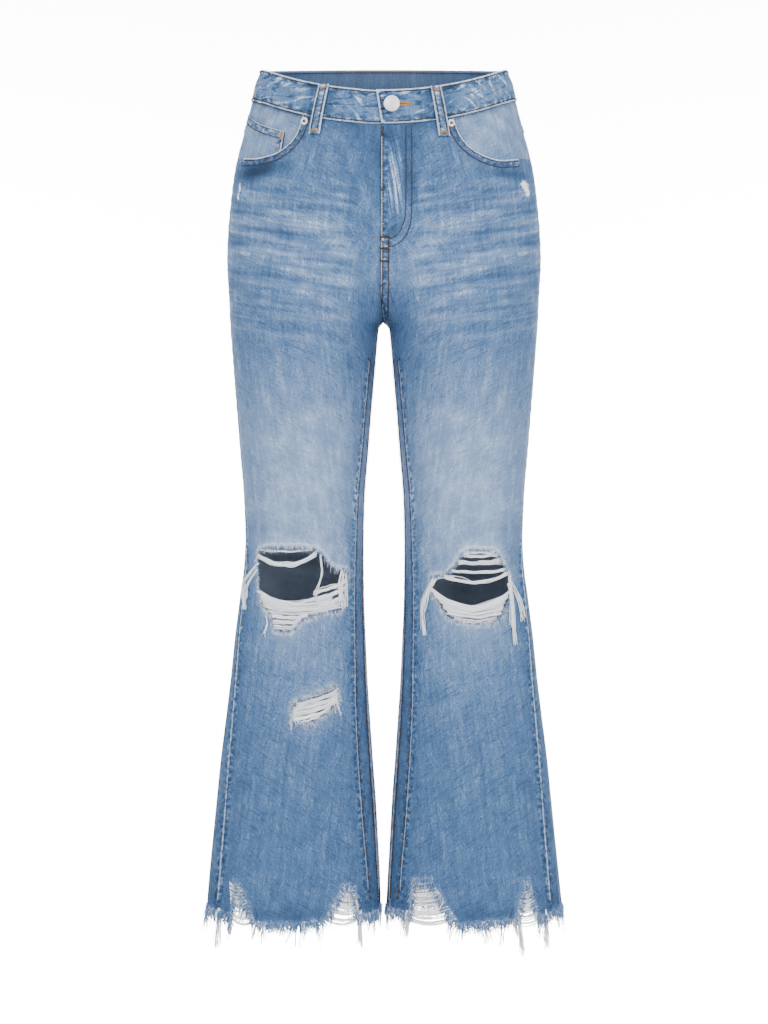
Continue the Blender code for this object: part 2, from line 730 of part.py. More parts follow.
    def waistband(self):
        """One strip round the waist. Its wearer's left end lies over its right end, with a hole for the button."""
        count = 34
        last = 2 * RING + UNDER_END
        spots = [last * i / count for i in range(1, count)]
        ring = [(OVER_END_BOTTOM, 0.0)] + [(a, 0.0) for a in spots] + [(last, 0.0), (last, 34.0)]
        ring += [(a, 34.0) for a in spots[::-1]] + [(OVER_END_TOP, 34.0)]
        spot = self.legs[1].across_at(BUTTON[0] - FLY_EDGE, BUTTON[1]) + RING / 2
        low = band_edge(BAND_BOTTOM, spot - RING / 2)
        high = band_edge(BAND_TOP, spot - RING / 2)
        rise = 34.0 * (BUTTON[1] - low) / (high - low)
        hole = [
            (spot + 2.6 * math.cos(math.pi * i / 4), rise + 3.4 * math.sin(math.pi * i / 4)) for i in range(8)
        ]
        self.cutter.sheet("waistband", ring, [hole], self.ring_place, BAND_CLOTH, self.denim, (17.0, 17.0), 20.0)
        face = self.ring_place(spot, rise)
        outward = (self.ring_place(spot, rise, 5.0) - face).normalized()
        profile = ((0.0, -2.8), (2.3, -2.8), (2.3, 0.6), (7.4, 0.7), (8.7, 1.6), (8.2, 2.9), (5.6, 3.9), (0.0, 4.3))
        self.cutter.turned("button", profile, face, outward, self.metal)

    def rivets(self):
        """The rivets at the pocket mouths' upper ends."""
        for name, side, x, height in RIVETS:
            leg = self.legs[side]
            across = leg.across_at(side * x, height)
            face = leg.place(across, height)
            outward = (leg.place(across, height, 5.0) - face).normalized()
            profile = ((0.0, 0.6), (3.8, 0.6), (4.2, 1.0), (3.4, 1.9), (2.2, 1.9), (1.6, 1.4), (0.0, 1.4))
            self.cutter.turned(name, profile, face, outward, self.metal, steps=14)

    def loop(self, name, line, lay, width):
        """A belt loop: a strap over the waistband, bowed a little away from it."""
        (top_a, top_h), (low_a, low_h) = line

        def bowed(across, height, out=0.0):
            share = (top_h - height) / (top_h - low_h)
            lift = 2.9 + 1.7 * math.sin(math.pi * min(1.0, max(0.0, share))) - 0.2 * share
            return lay(across, height, out + lift)

        rows = 7
        left = [(top_a + (low_a - top_a) * i / rows - width / 2, top_h + (low_h - top_h) * i / rows) for i in range(rows + 1)]
        ring = left + [(a + width, h) for a, h in left[::-1]]
        self.cutter.sheet(name, ring, [], bowed, LOOP_CLOTH, self.denim, step=(30.0, 9.0), longest=12.0)

    def loops(self):
        """Five belt loops: two in front, two behind and one at the back seam."""
        for name, side, front, top_x, top_h, low_x, low_h in LOOPS:
            leg = self.legs[side]
            line = [(leg.across_at(side * x, h, front), h) for x, h in ((top_x, top_h), (low_x, low_h))]
            one = leg.surface(line[0][0], -30.0)
            two = leg.surface(line[0][0] + 1.0, -30.0)
            self.loop(name, line, leg.place, LOOP_WIDTH / (two - one).length)

        def across_back(across, height, out=0.0):
            side = 1 if across > 0 else -1
            return self.legs[side].place(RING / 2 - abs(across) - 1e-6, height, out)

        self.loop("belt_loop_back", ((0.0, 31.0), (0.0, -20.0)), across_back, LOOP_WIDTH / 1.43)

    def net(self, name, side, ring, gaps):
        """The bare yarns across a rip, joined to a narrow strip inside its edge."""
        ring = inset(ring, 0.35)
        holes = [self.flat(side, gap) for gap in gaps]
        self.cutter.sheet(name, ring, holes, self.legs[side].place, YARN, self.pale, (16.0, 16.0), 14.0)

    def fringe(self, side, front, chance):
        """The yarns below a hem and across its notches, joined to a narrow strip along its edge."""
        leg = self.legs[side]
        hem, spans = self.hem_ring(side, front)
        way = 1.0 if hem[-1][0] > hem[0][0] else -1.0
        edge = inset(hem + [(hem[-1][0], -1000.0), (hem[0][0], -1000.0)], 0.4)[: len(hem)]
        start, stop = edge[0][0], edge[-1][0]
        ring = list(edge)
        across = stop - way * 1.2
        ring.append((stop, hem_height(stop, front) - 3.0))
        while way * (across - start) > 6.0:
            root = hem_height(across, front) - 3.0
            wide = chance.uniform(1.2, 2.0)
            length = chance.uniform(*STRAND_LENGTHS) * chance.choice((0.5, 0.8, 1.0))
            lean = 2.5 * math.sin(across / 11.0) + chance.uniform(-0.7, 0.7)
            ring.append((across, root))
            ring.append((across - way * (wide * 0.5 + lean), root - length))
            ring.append((across - way * wide, root))
            across -= way * (wide + chance.uniform(0.75, 1.25) * STRAND_SPACE[front])
        ring.append((start, hem_height(start, front) - 3.0))
        holes = []
        for foot, top, other_top, other_foot, height in spans:
            low = hem_height((foot + other_foot) / 2, front) + 1.0
            here = height - 3.4
            while here - THREAD_GAP > low:
                rows = []
                for h in (here, here - THREAD_GAP):
                    share = (height - h) / (height - low)
                    one = top + (foot - top) * share
                    two = other_top + (other_foot - other_top) * share
                    rows.append((one + way * 2.2, two - way * 2.2, h))
                if abs(rows[0][0] - rows[0][1]) > 5.0 and way * (rows[0][1] - rows[0][0]) > 0:
                    sag = chance.uniform(0.0, 1.2)
                    middle = [(row[0] + row[1]) / 2 for row in rows]
                    holes.append(
                        [
                            (rows[0][0], rows[0][2]),
                            (middle[0], rows[0][2] - sag),
                            (rows[0][1], rows[0][2]),
                            (rows[1][1], rows[1][2]),
                            (middle[1], rows[1][2] - sag),
                            (rows[1][0], rows[1][2]),
                        ]
                    )
                here -= THREAD_PITCH
        name = "hem_fringe_" + ("front_" if front else "back_") + self.words[side]
        self.cutter.sheet(name, ring, holes, leg.place, YARN, self.pale, (16.0, 60.0), 16.0)

    def build(self):
        """Every piece of the garment."""
        rips = {
            1: [self.rip_ring(1, KNEE_LEFT)],
            -1: [self.rip_ring(-1, KNEE_RIGHT), self.rip_ring(-1, SHIN_RIGHT)],
        }
        for side in (1, -1):
            self.front_panel(side, rips[side])
            self.back_pieces(side)
            self.pocket_pieces(side)
            for front in (True, False):
                self.fringe(side, front, random.Random(7 + 3 * side + front))
        self.net("knee_threads_left", 1, rips[1][0], KNEE_LEFT_GAPS)
        self.net("knee_threads_right", -1, rips[-1][0], KNEE_RIGHT_GAPS)
        self.net("shin_threads_right", -1, rips[-1][1], SHIN_RIGHT_GAPS)
        self.fly()
        self.waistband()
        self.rivets()
        self.loops()


if __name__ == "__main__":
    Jeans().build()
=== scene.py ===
"""Looks of the ripped jeans: denim, stitching, loose yarns and metal, laid on the frame's own shape.

Every cloth piece is cut from a flat pattern and laid on the garment. A place on the pattern is (across,
height) in millimetres: across is 100 for each radian round a leg, from the side line, and it is negative
on the front.
"""

import logging
import math
from collections.abc import Callable, Iterable, Sequence
from dataclasses import dataclass, field
from enum import Enum

import bpy
import numpy as np
from mathutils import Matrix, Vector
from mathutils.geometry import delaunay_2d_cdt
from mathutils.kdtree import KDTree


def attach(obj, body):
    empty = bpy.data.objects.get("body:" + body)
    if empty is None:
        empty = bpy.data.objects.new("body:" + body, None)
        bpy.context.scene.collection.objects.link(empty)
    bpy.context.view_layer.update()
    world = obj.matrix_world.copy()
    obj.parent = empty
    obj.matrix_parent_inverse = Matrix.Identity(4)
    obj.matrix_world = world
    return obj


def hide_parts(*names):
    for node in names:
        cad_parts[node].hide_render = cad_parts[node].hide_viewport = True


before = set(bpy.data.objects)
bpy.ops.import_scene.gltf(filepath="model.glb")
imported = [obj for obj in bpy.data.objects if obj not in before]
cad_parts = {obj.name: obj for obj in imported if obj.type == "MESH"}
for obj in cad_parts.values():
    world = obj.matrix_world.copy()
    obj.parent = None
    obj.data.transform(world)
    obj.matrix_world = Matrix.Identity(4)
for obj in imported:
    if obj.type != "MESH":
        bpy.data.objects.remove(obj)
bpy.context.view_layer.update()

log = logging.getLogger("jeans")

MM = 0.001
# The cloths' thickness, in mm
CLOTH, BAND_CLOTH, LOOP_CLOTH, BAG_CLOTH = 1.3, 2.4, 1.7, 0.9
# The size of a cloth's faces, in mm
FINE, MIDDLE, COARSE = 3.4, 4.2, 5.0
# A distance from a seam where nothing of it is felt, in mm
FAR = 40.0
Flat = tuple[float, float]
Array = np.ndarray
Lay = Callable[[Array, Array, Array | float], Array]
Spread = Callable[[Array, Array], Array]
Chance = np.random.Generator
Piece = bpy.types.Object
Finish = bpy.types.Material


class Side(Enum):
    """The wearer's sides, as the sign of X."""

    LEFT = 1
    RIGHT = -1

    @property
    def word(self) -> str:
        """The side's name as pieces carry it."""
        return self.name.lower()


class Held(Enum):
    """How a sheet of cloth is held on the garment."""

    HUNG = "hung"
    STRETCHED = "stretched"


# Soft marks


def bell(away: Array, reach: float, power: float = 2) -> Array:
    """1 where away is 0, with a soft fall to nothing past the reach."""
    return np.exp(-(np.abs(away / reach) ** power))


def blot(x: Array, z: Array, middle: Flat, reach: Flat) -> Array:
    """1 in the middle of a soft oval mark, with a soft fall round it."""
    return np.exp(-(((x - middle[0]) / reach[0]) ** 2) - (((z - middle[1]) / reach[1]) ** 2))


def even(value: float) -> Spread:
    """A value that is the same at every place."""
    return lambda a, h: np.full(np.shape(a), value)


# The shape of the garment


class Column:
    """One column of a table by height, with a smooth run from row to row and no overshoot."""

    def __init__(self, table: Sequence[Sequence[float]], index: int = 1) -> None:
        """Takes the heights and one column of the table's rows."""
        rows = np.array(sorted((row[0], row[index]) for row in table), float)
        self.xs, self.ys = rows[:, 0], rows[:, 1]
        slope = np.diff(self.ys) / np.diff(self.xs)
        before, after = slope[:-1], slope[1:]
        both = before * after
        inner = np.where(both > 0, 2 * both / np.where(both > 0, before + after, 1), 0.0)
        self.tangents = np.concatenate([slope[:1], inner, slope[-1:]])

    def __call__(self, height: Array) -> Array:
        """The column's value at each height."""
        at = np.clip(height, self.xs[0], self.xs[-1])
        i = np.clip(np.searchsorted(self.xs, at, side="right") - 1, 0, len(self.xs) - 2)
        span = self.xs[i + 1] - self.xs[i]
        t = (at - self.xs[i]) / span
        start = (2 * t**3 - 3 * t**2 + 1) * self.ys[i] + (t**3 - 2 * t**2 + t) * span * self.tangents[i]
        end = (3 * t**2 - 2 * t**3) * self.ys[i + 1] + (t**3 - t**2) * span * self.tangents[i + 1]
        return start + end


@dataclass(frozen=True)
class Fold:
    """A soft ridge or trough in the cloth, along a bowed line on the pattern."""

    start: Flat
    stop: Flat
    width: float
    rise: float
    bow: float
    side: int

    def parts(self, across: Array, height: Array) -> tuple[Array, Array]:
        """How far each place is from half-way along, 1 at the ends, and its nearness to the line, 1 on it."""
        start = np.array(self.start)
        along = np.array(self.stop) - start
        length = math.hypot(*along)
        unit = along / length
        dx, dy = across - start[0], height - start[1]
        t = (dx * unit[0] + dy * unit[1]) / length
        off = -dx * unit[1] + dy * unit[0] - self.bow * 4 * t * (1 - t)
        return np.abs(2 * t - 1), bell(off, self.width)


# Height, the side's distance from the middle, and the depths of the front and the back, in mm
LEVELS = (
    (50, 125, 85, 92), (17.5, 134.8, 90, 93), (0, 141.7, 93, 96), (-16.5, 145.2, 95, 99),
    (-36, 150.2, 97, 103), (-69, 158.4, 99, 109), (-91, 163.4, 100, 113), (-124, 167.8, 102, 118),
    (-168, 171.6, 104, 122), (-190, 172.2, 104, 121), (-234, 170, 102, 113), (-258.5, 168.9, 100, 105),
    (-289, 166.7, 97, 96), (-344, 162.3, 91, 87), (-399, 157.9, 84, 79), (-454, 153.5, 76, 72),
    (-493, 152.4, 70, 67), (-520, 153.4, 66.5, 66), (-564, 158.9, 63, 67), (-608, 164.4, 61.5, 69),
    (-652, 168.9, 61, 71), (-696, 174.3, 61.5, 73), (-740, 179.8, 62, 75), (-784, 184.2, 63, 77),
    (-828, 188.6, 64.5, 79), (-872, 193, 66, 81), (-910, 196.4, 67, 82), (-980, 202, 68, 84),
)
# Height and half the gap between the legs, in mm
LEG_GAP = (
    (-258.5, 0), (-260.5, 3.4), (-263.5, 5.2), (-270, 6.2), (-289, 8), (-344, 12.7), (-399, 17),
    (-454, 21.2), (-493, 22.2), (-520, 22.4), (-564, 21.6), (-608, 19.8), (-652, 17.8), (-696, 14.9),
    (-740, 11.8), (-784, 8.6), (-828, 6.2), (-872, 3.8), (-910, 2.6), (-980, 2.6),
)
# Height, and how far from the leg's inner outline the two rows beside the inseam are seen, in mm
INSEAM_ROWS = (
    (-300, 1.5, 6), (-420, 1.6, 7), (-500, 1.8, 8), (-600, 3, 11), (-700, 4.5, 14), (-780, 5, 15),
    (-850, 4.2, 13.6), (-910, 4, 12.6),
)
# Height, and how far the outseam and the inseam have turned forwards from the outline, in mm
SEAM_TURN = (
    (60, 0, 0), (-300, 0, 0), (-440, 0.2, 0.9), (-490, 1.2, 1.2), (-520, 3.2, 1.5), (-564, 5, 1.8),
    (-620, 6.6, 2.2), (-674, 8.3, 2.5), (-729, 10.4, 2.8), (-784, 12, 3), (-840, 13.2, 3.2),
    (-980, 14.6, 3.5),
)
# The band's edges: height at the side, fall to the front's middle and rise to the back's, in mm
BAND_TOP = (17.5, 32.5, 13.5)
BAND_BOTTOM = (-16.5, 35.3, 12.5)


@dataclass
class Shape:
    """The garment's outer face, as a map from the flat pattern to points in mm."""

    crotch: float = -258.5
    front_rise: float = 84.0
    back_rise: float = 136.0
    round: float = 100.0
    fullness: float = 0.93
    fly_edge: float = -3.0
    fly_fade: float = 60.0
    seam_gap: float = 0.4
    edge_gap: float = 0.3
    folds: tuple[Fold, ...] = ()
    levels: list[Column] = field(default_factory=list)

    def __post_init__(self) -> None:
        """Reads the tables of the shape."""
        self.levels = [Column(LEVELS, i) for i in (1, 2, 3)]
        self.inner = Column(LEG_GAP)
        self.turns = [Column(SEAM_TURN, i) for i in (1, 2)]

    @property
    def ring(self) -> float:
        """Half the way round the waist, on the pattern."""
        return math.pi * self.round

    def section(self, height: Array, front: Array) -> tuple[Array, Array, Array]:
        """The middle, half width and depth of a leg's section.

        Args:
            height: heights in mm.
            front: whether each place is on the front.

        Returns:
            Three arrays, in mm.
        """
        outer = self.levels[0](height)
        depth = np.where(front, self.levels[1](height), self.levels[2](height))
        inner = self.inner(height)
        low_middle, low_half = (outer + inner) / 2, (outer - inner) / 2
        rise = np.where(front, self.front_rise, self.back_rise)
        share = np.clip(1.0 - (height - self.crotch) / rise, 0.0, 1.0)
        middle = share * outer / (1 + share)
        high = height > self.crotch
        return np.where(high, middle, low_middle), np.where(high, outer - middle, low_half), depth

    def surface(self, side: Array | int, across: Array, height: Array) -> Array:
        """Points of the cloth's outer face before its folds, in mm."""
        across, height = np.broadcast_arrays(np.asarray(across, float), np.asarray(height, float))
        turn = math.pi + across / self.round
        front = (across < 0) | (turn > 2 * math.pi)
        middle, half, depth = self.section(height, front)
        x = side * (middle - half * np.cos(turn))
        sine = np.sin(turn)
        y = -depth * np.sign(sine) * np.abs(sine) ** self.fullness
        x = x + np.where(across < 0, self.fly_shift(x, height), 0.0)
        return np.stack([x, y, height], axis=-1)

    def fly_shift(self, x: Array, height: Array) -> Array:
        """How far the front's middle is moved across, so that the fly's edge lies beside it, in mm."""
        high = np.clip((height - self.crotch - 2) / 24, 0, 1)
        return self.fly_edge * high * np.clip(1 - np.abs(x) / self.fly_fade, 0, 1) ** 2

    def normal(self, side: Array | int, across: Array, height: Array) -> Array:
        """The outward normals of the cloth."""
        u = self.surface(side, across + 0.6, height) - self.surface(side, across - 0.6, height)
        v = self.surface(side, across, height + 0.6) - self.surface(side, across, height - 0.6)
        return directions(np.cross(u, v) * np.asarray(side)[..., None])

    def relief(self, side: Array | int, across: Array, height: Array) -> Array:
        """How far the folds lift the cloth, in mm."""
        across, height = np.broadcast_arrays(np.asarray(across, float), np.asarray(height, float))
        side = np.broadcast_to(np.asarray(side), across.shape)
        lift = np.zeros(across.shape)
        for fold in self.folds:
            along, near_line = fold.parts(across, height)
            lift += (side == fold.side) * fold.rise * np.clip(1.12 - along**2, 0, 1) ** 1.2 * near_line
        side_seam = bell(across - self.side_line(height), 9.0)
        pucker = np.sin(height / 2.3 + 1.7 * np.sin(height / 17.0))
        pucker = pucker * (0.6 + 0.4 * np.sin(height / 31.0 + side))
        lift += 0.28 * side_seam * pucker
        hem = np.exp(-np.clip((height + 902.0) / 22.0, 0, 9))
        lift += 0.9 * hem * np.sin(across / 7.5 + 1.3 * np.sin(across / 19.0 + side))
        return lift

    def side_line(self, height: Array) -> Array:
        """The pattern place of the outseam."""
        _, half, _ = self.section(height, np.ones(np.shape(height), bool))
        return -self.round * np.arccos(1 - self.turns[0](height) / half)

    def place(self, side: Array | int, across: Array, height: Array, out: Array | float = 0.0) -> Array:
        """Points on the pattern laid on the garment.

        Args:
            side: 1 for the wearer's left, -1 for the right.
            across: places across the pattern.
            height: heights in mm.
            out: distance outside the cloth's outer face, in mm.

        Returns:
            Points in mm, one row each.
        """
        lift = np.asarray(out) + self.relief(side, across, height)
        return self.surface(side, across, height) + lift[..., None] * self.normal(side, across, height)

    def across_at(self, side: int, x: Array, height: Array, front: bool = True) -> Array:
        """The pattern place of a point seen from straight in front, or straight behind."""
        x, height = np.broadcast_arrays(np.asarray(x, float), np.asarray(height, float))
        middle, half, _ = self.section(height, np.full(height.shape, front))
        turn = np.arccos(np.clip((middle - side * x) / half, -1, 1))
        return self.round * (turn - math.pi) if front else self.round * (math.pi - turn)

    def middle_edge(self, height: float, front: bool) -> float:
        """The pattern place of the middle seam, or below the crotch of the inseam."""
        h = np.array([height])
        middle, half, _ = (float(v[0]) for v in self.section(h, np.array([front])))
        gap = self.edge_gap / self.round
        if height > self.crotch:
            turn = math.acos(max(-1.0, min(1.0, (middle - self.seam_gap / 2) / half)))
        else:
            turn = 0.0
        forward = math.acos(1 - float(self.turns[1](h)[0]) / half)
        if front:
            return self.round * (max(turn, gap, forward + gap) - math.pi)
        if height <= self.crotch:
            return self.round * (math.pi - gap + forward)
        return self.round * (math.pi - max(turn, gap))

    def side_edge(self, height: float, front: bool) -> float:
        """The pattern place of the side seam, half a seam gap to its own side."""
        return float(self.side_line(np.array([height]))[0]) + (-self.edge_gap if front else self.edge_gap)

    def band_edge(self, edge: tuple[float, float, float], across: Array) -> Array:
        """The height of one edge of the waistband above a place on the pattern."""
        sine = np.sin(math.pi + np.asarray(across, float) / self.round)
        return np.where(np.asarray(across) < 0, edge[0] - edge[1] * sine**2, edge[0] + edge[2] * np.abs(sine))

    def arc(self, across: Array, height: Array) -> Array:
        """The real distance across the cloth from the side line, in mm."""
        grid_a, grid_h = np.meshgrid(np.linspace(-340, 360, 141), np.linspace(-1000, 60, 54))
        step = self.surface(1, grid_a + 2.5, grid_h) - self.surface(1, grid_a - 2.5, grid_h)
        total = np.cumsum(np.linalg.norm(step, axis=-1), axis=1)
        total -= total[:, [68]]
        i = np.clip((height + 1000) / 20, 0, 52.999)
        j = np.clip((across + 340) / 5, 0, 139.999)
        i0, j0 = i.astype(int), j.astype(int)
        fi, fj = i - i0, j - j0
        low = total[i0, j0] * (1 - fj) + total[i0, j0 + 1] * fj
        high = total[i0 + 1, j0] * (1 - fj) + total[i0 + 1, j0 + 1] * fj
        return low * (1 - fi) + high * fi


# Flat geometry


def inside(points: Array, ring: Array) -> Array:
    """Whether each flat point is inside a closed ring."""
    found = np.zeros(len(points), bool)
    x, y = points[:, 0], points[:, 1]
    for (x0, y0), (x1, y1) in zip(ring, np.roll(ring, -1, axis=0)):
        if y0 == y1:
            continue
        found ^= ((y0 > y) != (y1 > y)) & (x < x0 + (y - y0) * (x1 - x0) / (y1 - y0))
    return found


def resampled(line: Array, spacing: float, closed: bool = False) -> Array:
    """A line cut into short pieces that keep its own corners."""
    ends = np.vstack([line, line[:1]]) if closed else line
    out = []
    for one, two in zip(ends[:-1], ends[1:]):
        count = max(1, math.ceil(float(np.linalg.norm(two - one)) / spacing))
        out.append(one + (two - one) * (np.arange(count) / count)[:, None])
    if not closed:
        out.append(ends[-1:])
    return np.vstack(out)


def rounded(line: Array, closed: bool = False) -> Array:
    """A smooth curve through a line's points."""
    n, steps = len(line), 5
    index = np.arange(n if closed else n - 1)

    def at(k: Array) -> Array:
        """The line's points with these numbers."""
        return line[k % n] if closed else line[np.clip(k, 0, n - 1)]

    p0, p1, p2, p3 = at(index - 1), at(index), at(index + 1), at(index + 2)
    square, cube = 2 * p0 - 5 * p1 + 4 * p2 - p3, 3 * p1 - p0 - 3 * p2 + p3
    shares = [i / steps for i in range(steps)]
    rows = [0.5 * (2 * p1 + (p2 - p0) * t + square * t**2 + cube * t**3) for t in shares]
    out = np.stack(rows, axis=1).reshape(-1, line.shape[1])
    return out if closed else np.vstack([out, line[-1:]])


def distance(points: Array, line: Array) -> Array:
    """The distance from each flat point to a line."""
    least = np.full(len(points), 1e9)
    for one, two in zip(line[:-1], line[1:]):
        along = two - one
        share = ((points - one) @ along) / max(float(along @ along), 1e-9)
        nearest = one + np.clip(share, 0, 1)[:, None] * along
        least = np.minimum(least, np.linalg.norm(points - nearest, axis=1))
    return least


def pairs(one: Array, two: Array) -> Array:
    """Two rows of numbers as flat points."""
    return np.stack([one, two], axis=1)


def near(a: Array, h: Array, line: Array) -> Array:
    """The distance from each place on the pattern to a line."""
    return distance(pairs(a, h), line)


def closed_line(ring: Array) -> Array:
    """A ring with its first point again at its end."""
    return np.vstack([ring, ring[:1]])


def directions(rows: Array) -> Array:
    """Rows of numbers, each made one long."""
    return rows / np.maximum(np.linalg.norm(rows, axis=-1, keepdims=True), 1e-9)


def within(points: Array, rings: Sequence[Array]) -> Array:
    """Whether each flat point is inside the first ring and outside the others."""
    found = inside(points, rings[0])
    for hole in rings[1:]:
        found &= ~inside(points, hole)
    return found


def clear_of(points: Array, rim: Array, reach: float) -> Array:
    """Which points are farther than reach from every point of the rim."""
    if not len(points):
        return np.zeros(0, bool)
    tree = KDTree(len(rim))
    for i, (x, y) in enumerate(rim.tolist()):
        tree.insert((x, y, 0.0), i)
    tree.balance()
    return np.array([tree.find((x, y, 0.0))[2] > reach for x, y in points.tolist()])


def triangles(rings: Sequence[Array], step: float) -> tuple[Array, Array]:
    """Fills an outline, less its holes, with triangles of one size.

    Args:
        rings: the outline and then its holes.
        step: the size of the triangles.

    Returns:
        The flat points, and rows of three points' indices.
    """
    edges: list[tuple[int, int]] = []
    count = 0
    for loop in rings:
        edges.extend((count + i, count + (i + 1) % len(loop)) for i in range(len(loop)))
        count += len(loop)
    low, high = rings[0].min(axis=0), rings[0].max(axis=0)
    rows = np.arange(math.ceil(low[1] / step), high[1] / step)
    grid_a, grid_h = np.meshgrid(np.arange(low[0], high[0], step), rows * step)
    grid_a = grid_a + (np.arange(len(rows)) % 2)[:, None] * step / 2
    lattice = pairs(grid_a.ravel(), grid_h.ravel())
    lattice = lattice[within(lattice, rings)]
    rim = np.vstack(rings)
    lattice = lattice[clear_of(lattice, rim, 0.55 * step)]
    flat = [Vector(p) for p in np.vstack([rim, lattice]).tolist()]
    places, _, faces, *_ = delaunay_2d_cdt(flat, edges, [], 0, 1e-5, False)
    places = np.array([tuple(p) for p in places])
    faces = np.array([face for face in faces if len(face) == 3])
    return places, faces[within(places[faces].mean(axis=1), rings)]


# Finishes


class Socket:
    """One output of a material node, with the usual operators on it."""

    def __init__(self, graph: "Graph", out: bpy.types.NodeSocket) -> None:
        """Keeps the tree and the output."""
        self.graph = graph
        self.out = out

    def maths(self, kind: str, *others: "Socket | float", flip: bool = False) -> "Socket":
        """A Math node on this socket and others."""
        terms = (*others, self) if flip else (self, *others)
        return self.graph.node("ShaderNodeMath", *terms, operation=kind)

    def __add__(self, other: "Socket | float") -> "Socket":
        """The sum of two outputs."""
        return self.maths("ADD", other)

    __radd__ = __add__

    def __mul__(self, other: "Socket | float") -> "Socket":
        """The product of two outputs."""
        return self.maths("MULTIPLY", other)

    __rmul__ = __mul__

    def __sub__(self, other: "Socket | float") -> "Socket":
        """This output less another."""
        return self.maths("SUBTRACT", other)

    def __rsub__(self, other: float) -> "Socket":
        """A number less this output."""
        return self.maths("SUBTRACT", other, flip=True)

    def __truediv__(self, other: "Socket | float") -> "Socket":
        """This output divided by another."""
        return self.maths("DIVIDE", other)

    def ramp(self, low: float, high: float) -> "Socket":
        """0 at low, 1 at high, with a soft run between; low may be above high."""
        turned = low > high
        ends = (high, low) if turned else (low, high)
        out = self.graph.node("ShaderNodeMapRange", self, *ends, 0.0, 1.0, interpolation_type="SMOOTHSTEP")
        return 1.0 - out if turned else out


class Graph:
    """A material's node tree."""

    def __init__(self, name: str, roughness: float, metallic: float = 0.0) -> None:
        """Makes a new material of this name, with its shader's plain values."""
        self.material = bpy.data.materials.new(name)
        self.material.use_nodes = True
        self.tree = self.material.node_tree
        self.shader = self.tree.nodes["Principled BSDF"]
        self.shader.inputs["Roughness"].default_value = roughness
        self.shader.inputs["Metallic"].default_value = metallic
        self.shader.inputs["Specular IOR Level"].default_value = 0.5 if metallic else 0.08

    def node(
        self, kind: str, *values: "Socket | float | tuple | None", output: int = 0, **settings: object
    ) -> Socket:
        """Adds a node, fills its inputs in order and returns one output."""
        made = self.tree.nodes.new(kind)
        for key, value in settings.items():
            setattr(made, key, value)
        for slot, value in zip(made.inputs, values):
            if isinstance(value, Socket):
                self.tree.links.new(value.out, slot)
            elif value is not None:
                slot.default_value = value
        return Socket(self, made.outputs[output])

    def uv(self) -> Socket:
        """The piece's own flat pattern, in mm."""
        flat = self.node("ShaderNodeUVMap", uv_map="pattern")
        return self.node("ShaderNodeVectorMath", flat, (1000.0, 1000.0, 1000.0), operation="MULTIPLY")

    def value(self, name: str) -> Socket:
        """A value that the mesh carries."""
        return self.node("ShaderNodeAttribute", attribute_name=name, output=2)

    def noise(
        self, at: Socket, stretch: Flat, detail: float, rough: float = 0.55, seed: float = 0.0
    ) -> Socket:
        """A soft random value from 0 to 1; stretch is the number of waves in a mm, across and along."""
        shift = (seed, seed, seed)
        place = self.node("ShaderNodeVectorMath", at, (*stretch, 1.0), shift, operation="MULTIPLY_ADD")
        out = self.node("ShaderNodeTexNoise", place, noise_dimensions="2D")
        made = out.out.node
        made.inputs["Scale"].default_value = 1.0
        made.inputs["Detail"].default_value = detail
        made.inputs["Roughness"].default_value = rough
        return out

    def slashes(self, at: Socket, turn: float, size: Flat, seed: float) -> Socket:
        """Soft strokes, each of about one length and one breadth in mm, that all run one way."""
        place = self.node("ShaderNodeMapping", at, None, (0.0, 0.0, turn))
        out = self.noise(place, (1.0 / size[0], 1.0 / size[1]), 1.0, 0.5, seed)
        out.out.node.inputs["Distortion"].default_value = 0.7
        return out.ramp(0.53, 0.78)

    def mix(self, one: "Socket | tuple", two: "Socket | tuple", share: Socket) -> Socket:
        """A colour between two others."""
        made = self.tree.nodes.new("ShaderNodeMix")
        made.data_type = "RGBA"
        for slot, value in ((made.inputs[0], share), (made.inputs[6], one), (made.inputs[7], two)):
            if isinstance(value, Socket):
                self.tree.links.new(value.out, slot)
            else:
                slot.default_value = value
        return Socket(self, made.outputs[2])

    def gradient(self, share: Socket, stops: Iterable[tuple[float, tuple[int, int, int]]]) -> Socket:
        """A colour from a run of colours."""
        made = self.tree.nodes.new("ShaderNodeValToRGB")
        self.tree.links.new(share.out, made.inputs[0])
        bar = made.color_ramp
        stops = list(stops)
        while len(bar.elements) < len(stops):
            bar.elements.new(0.5)
        for place, (at, colour) in zip(bar.elements, stops):
            place.position = at
            place.color = screen(colour)
        return Socket(self, made.outputs[0])

    def finish(
        self, colour: Socket | tuple, bump: Socket | None = None, depth: float = 0.0004
    ) -> Finish:
        """Feeds the shader and returns the material."""
        if isinstance(colour, Socket):
            self.tree.links.new(colour.out, self.shader.inputs["Base Color"])
        else:
            self.shader.inputs["Base Color"].default_value = colour
        if bump is not None:
            made = self.tree.nodes.new("ShaderNodeBump")
            made.inputs["Strength"].default_value = 0.5
            made.inputs["Distance"].default_value = depth
            self.tree.links.new(bump.out, made.inputs["Height"])
            self.tree.links.new(made.outputs[0], self.shader.inputs["Normal"])
        return self.material


def screen(colour: Sequence[float]) -> tuple[float, float, float, float]:
    """A screen colour from 0 to 255 as the shader's linear colour."""
    linear = [(c / 255 / 12.92) if c < 10.3 else ((c / 255 + 0.055) / 1.055) ** 2.4 for c in colour]
    return (*linear, 1.0)


